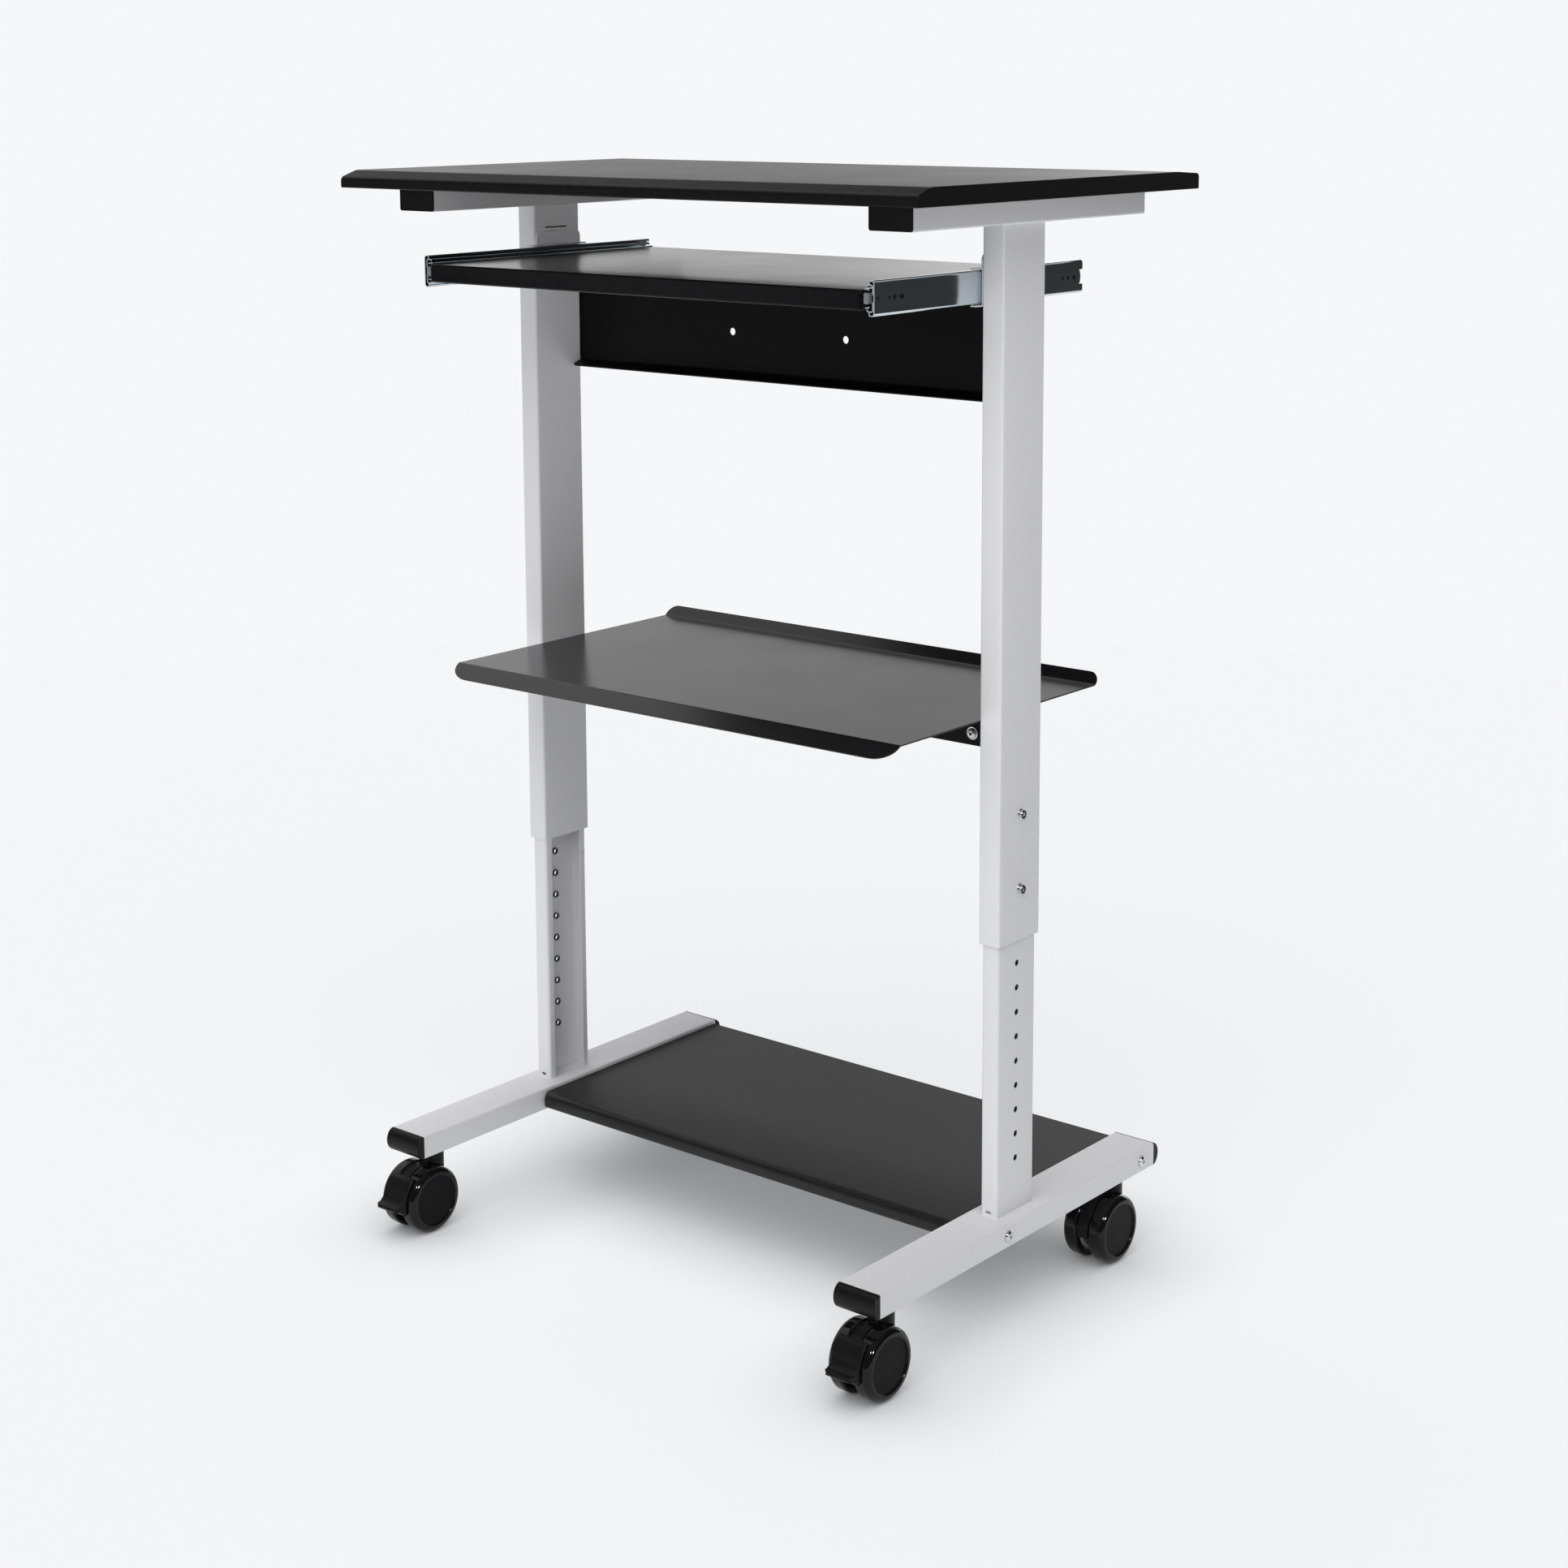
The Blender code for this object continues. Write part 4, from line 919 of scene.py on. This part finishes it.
def build_bracket(label, side):
    """Plate on the upright: a lip over and under the slide, a raised border, two rivets, a louvre, and a
    black strip of painted shadow over the louvre.
    """
    node = f"{label}_slide_bracket"
    low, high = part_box(node)
    outer_low, outer_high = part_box(f"{label}_slide_outer_member")
    upright_low, upright_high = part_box(f"{label}_upright_tube")
    thick = 0.0012
    web = high.x if side > 0 else low.x
    inner, reach = web - side * thick, low.x if side > 0 else high.x
    over, under = outer_high.z + 0.0006, outer_low.z - 0.0006
    radius = 0.007
    front, rear = upright_low.y + 0.0010, upright_high.y - 0.0010

    def outline_of(inset, bottom):
        """The plate's outline, its upper corners round, moved inwards."""
        points = [(front + inset, bottom), (rear - inset, bottom)]
        points += arc((rear - radius, high.z - radius), radius - inset, 0, 90, 8)
        return points + arc((front + radius, high.z - radius), radius - inset, 90, 180, 8)

    bm = prism(bmesh.new(), outline_of(0, under), "X", min(web, inner), max(web, inner))
    flanges = bmesh.new()
    for z, way in ((over, 1), (under, -1)):
        a, b = sorted((web, reach))
        outline = rounded_rectangle((a, low.y), (b, high.y), 0.0025, 5)
        prism(flanges, outline, "Z", min(z, z + way * thick), max(z, z + way * thick))
    piece(node + "_plate", bm, POWDER, "upper_frame", [node], bevel=0.0005, segments=2)
    piece(node + "_flanges", flanges, POWDER, "upper_frame", bevel=0.0004, segments=2)
    raised, border = inner - side * 0.0007, 0.0016
    ridge = prism(bmesh.new(), outline_of(0, over), "X", min(inner, raised), max(inner, raised))
    near, far = sorted((inner + side * 0.0002, inner - side * 0.002))
    hollow = prism(bmesh.new(), outline_of(border, over + border), "X", near, far)
    piece(f"{label}_bracket_border", carved(ridge, [hollow]), POWDER, "upper_frame",
          bevel=0.0003, segments=2)
    rivets = bmesh.new()
    dome = [(0.0, 0.0008), (0.0014, 0.0006), (0.0022, 0.0013), (0.0030, 0.0011), (0.0034, 0.0)]
    dome = [(r, -side * h) for r, h in [*dome, (0.0, 0.0)]]
    for y in (front + 0.011, rear - 0.008):
        lathe(rivets, dome, "X", (inner, y, over + 0.0052), 24)
    piece(f"{label}_bracket_rivets", rivets, POWDER, "upper_frame")
    middle, top = (front + rear) / 2 - 0.002, high.z
    louvre = bmesh.new()
    outline = rounded_rectangle((middle - 0.0185, top + 0.0004), (middle + 0.0185, top + 0.0038), 0.0016, 4)
    prism(louvre, outline, "X", min(web, inner - side * 0.0014), max(web, inner - side * 0.0014))
    piece(f"{label}_bracket_louvre", louvre, POWDER, "upper_frame", bevel=0.0007, segments=2)
    # Painted shadow: a thin black strip over the louvre stands for the shade in its opening.
    louvre_shadow_strip = bmesh.new()
    outline = rounded_rectangle((middle - 0.0165, top + 0.0037), (middle + 0.0165, top + 0.0050), 0.0005, 3)
    prism(louvre_shadow_strip, outline, "X", min(web, web - side * 0.0003), max(web, web - side * 0.0003))
    piece(f"{label}_louvre_painted_shadow", louvre_shadow_strip, PANEL_PAINT, "upper_frame")


# ---- assembly --------------------------------------------------------
HOLE_PITCH, HOLE_COUNT = 0.0254, 18
COLUMN_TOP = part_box("right_lower_column")[1].z
HOLE_HEIGHTS = [COLUMN_TOP - 0.016 - HOLE_PITCH * i for i in range(HOLE_COUNT)]
LIP_HOLE_Z = 0.366
PANEL_HOLE_X, PANEL_HOLE_Z = 0.0762, 0.9743

for label, side in SIDES:
    build_leg(label, side)
    build_column(label, side)
    build_upright(label, side)
    build_rail(label)
    build_slide(label, side)
    build_brake_pedal(label)
    for word, _ in ENDS:
        build_caster(label, word)
build_bottom_shelf()
build_worktop()
build_middle_shelf()
build_modesty_panel()
build_crossbar()
build_tray()


# ---- floor, light and camera -----------------------------------------
BACKDROP = (0.9216, 0.9299, 0.9473)
FLOOR_COLOUR, FLOOR_GLOW = (0.320, 0.323, 0.329), 0.70
OVERHEAD, ROOM = 0.35, 0.05
HIGH_PANEL = ((-0.63, 0.12, 0.76), 0.84, 1.2)
PANELS = (((-0.93, 0.36), 0.88, 2.2), ((-0.63, 0.76), 0.88, 1.35), ((-0.20, 0.98), 0.88, 3.0),
          ((-0.63, -0.76), 0.94, 0.6))
SIDE_LIGHT_PLACE, SIDE_LIGHT_POWER = (5.2, -2.2, 1.05), 520
CAMERA_PLACE, CAMERA_TURNS = (1.83694, -2.1811, 1.25387), (39.56, 81.17, -0.27)
CAMERA_LENS, CAMERA_SHIFT = 63.89, -0.1834


def build_floor():
    """A pale disc that glows a little, its glow darkened as painted contact shadow where something stands
    close above it.
    """
    mesh = bpy.data.meshes.new("floor")
    bm = bmesh.new()
    bmesh.ops.create_circle(bm, cap_ends=True, segments=96, radius=3.2)
    bm.to_mesh(mesh)
    bm.free()
    floor = linked("floor", mesh)
    floor.location.z = CAD_BOX[0].z - 0.0002
    material = bpy.data.materials.new("pale_floor")
    material.use_nodes = True
    nodes, links = material.node_tree.nodes, material.node_tree.links
    shader = nodes["Principled BSDF"]
    set_inputs(shader, {"Base Color": (*FLOOR_COLOUR, 1), "Roughness": 0.9,
                        "Specular IOR Level": 0.0, "Emission Strength": FLOOR_GLOW})
    # Painted contact shadow: ambient occlusion darkens the floor's glow under and near the desk.
    near = nodes.new("ShaderNodeAmbientOcclusion")
    set_inputs(near, {"Distance": 0.15, "Color": (*BACKDROP, 1)})
    links.new(near.outputs["Color"], shader.inputs["Emission Color"])
    mesh.materials.append(material)


def build_world():
    """Plain backdrop for the camera; for the desk, lit panels low behind it and a soft light overhead."""
    world = bpy.data.worlds.new("studio")
    bpy.context.scene.world = world
    world.use_nodes = True
    nodes, links = world.node_tree.nodes, world.node_tree.links
    nodes.clear()
    output = nodes.new("ShaderNodeOutputWorld")
    seen, room = nodes.new("ShaderNodeBackground"), nodes.new("ShaderNodeBackground")
    seen.inputs["Color"].default_value = (*BACKDROP, 1)
    path = nodes.new("ShaderNodeLightPath")
    mix = nodes.new("ShaderNodeMixShader")
    links.new(path.outputs["Is Camera Ray"], mix.inputs["Fac"])
    links.new(room.outputs["Background"], mix.inputs[1])
    links.new(seen.outputs["Background"], mix.inputs[2])
    links.new(mix.outputs["Shader"], output.inputs["Surface"])
    direction = nodes.new("ShaderNodeTexCoord").outputs["Generated"]

    def facing(axis, start, end, low=0.0, high=1.0):
        """From low to high as the cosine between the direction and an axis goes from start to end."""
        dot = nodes.new("ShaderNodeVectorMath")
        dot.operation = "DOT_PRODUCT"
        dot.inputs[1].default_value = Vector(axis).normalized()
        links.new(direction, dot.inputs[0])
        ramp = nodes.new("ShaderNodeMapRange")
        ramp.interpolation_type = "SMOOTHSTEP"
        set_inputs(ramp, {"From Min": start, "From Max": end, "To Min": low, "To Max": high})
        links.new(dot.outputs["Value"], ramp.inputs["Value"])
        return ramp.outputs["Result"]

    def combined(operation, a, b):
        node = nodes.new("ShaderNodeMath")
        node.operation = operation
        links.new(a, node.inputs[0])
        links.new(b, node.inputs[1])
        return node.outputs["Value"]

    low_band = facing((0, 0, 1), 0.24, 0.42, 1.0, 0.0)
    total = facing((0, -0.1, 1), 0.45, 0.90, ROOM, OVERHEAD)
    for axis, edge, strength in PANELS:
        panel = facing((*axis, 0), edge, 0.99, 0.0, strength)
        total = combined("ADD", total, combined("MULTIPLY", panel, low_band))
    axis, edge, strength = HIGH_PANEL
    total = combined("ADD", total, facing(axis, edge, 0.98, 0.0, strength))
    links.new(total, room.inputs["Strength"])


def add_sun(name, direction, strength, angle, seen_by):
    """A soft distant light, for diffuse or glossy light only; direction points from the desk to it."""
    data = bpy.data.lights.new(name, "SUN")
    data.energy, data.angle = strength, math.radians(angle)
    lamp = linked(name, data)
    lamp.rotation_mode = "QUATERNION"
    lamp.rotation_quaternion = Vector(direction).normalized().to_track_quat("Z", "Y")
    lamp.visible_glossy, lamp.visible_diffuse = seen_by == "glossy", seen_by == "diffuse"


def add_side_light():
    """A level beam from the right that spreads over the desk's height and misses the floor."""
    data = bpy.data.lights.new("side_light", "SPOT")
    data.energy, data.spot_size, data.spot_blend = SIDE_LIGHT_POWER, math.radians(8), 1.0
    data.shadow_soft_size = 0.4
    lamp = linked("side_light", data)
    lamp.location = SIDE_LIGHT_PLACE
    lamp.rotation_mode = "QUATERNION"
    lamp.rotation_quaternion = Vector((*SIDE_LIGHT_PLACE[:2], 0)).to_track_quat("Z", "Y")
    lamp.visible_glossy = False


def build_camera():
    data = bpy.data.cameras.new("camera")
    data.sensor_width, data.lens, data.shift_y = 36.0, CAMERA_LENS, CAMERA_SHIFT
    camera = linked("camera", data)
    heading, tilt, roll = (math.radians(degrees) for degrees in CAMERA_TURNS)
    turn = Matrix.Rotation(heading, 4, "Z") @ Matrix.Rotation(tilt, 4, "X")
    turn = turn @ Matrix.Rotation(roll, 4, "Z")
    camera.matrix_world = Matrix.Translation(CAMERA_PLACE) @ turn
    bpy.context.scene.camera = camera


build_floor()
build_world()
add_sun("high_light", (0.5, -0.6, 1), 1.62, 60, "diffuse")
add_sun("front_light", (-0.15, -1, 0.3), 0.86, 60, "diffuse")
add_sun("right_highlight", (0.85, -0.25, 0.42), 1.4, 5, "glossy")
add_sun("front_highlight", (0.45, -0.60, 0.66), 1.0, 5, "glossy")
add_side_light()
build_camera()
bpy.context.scene.view_settings.view_transform = "Standard"
bpy.context.view_layer.update()
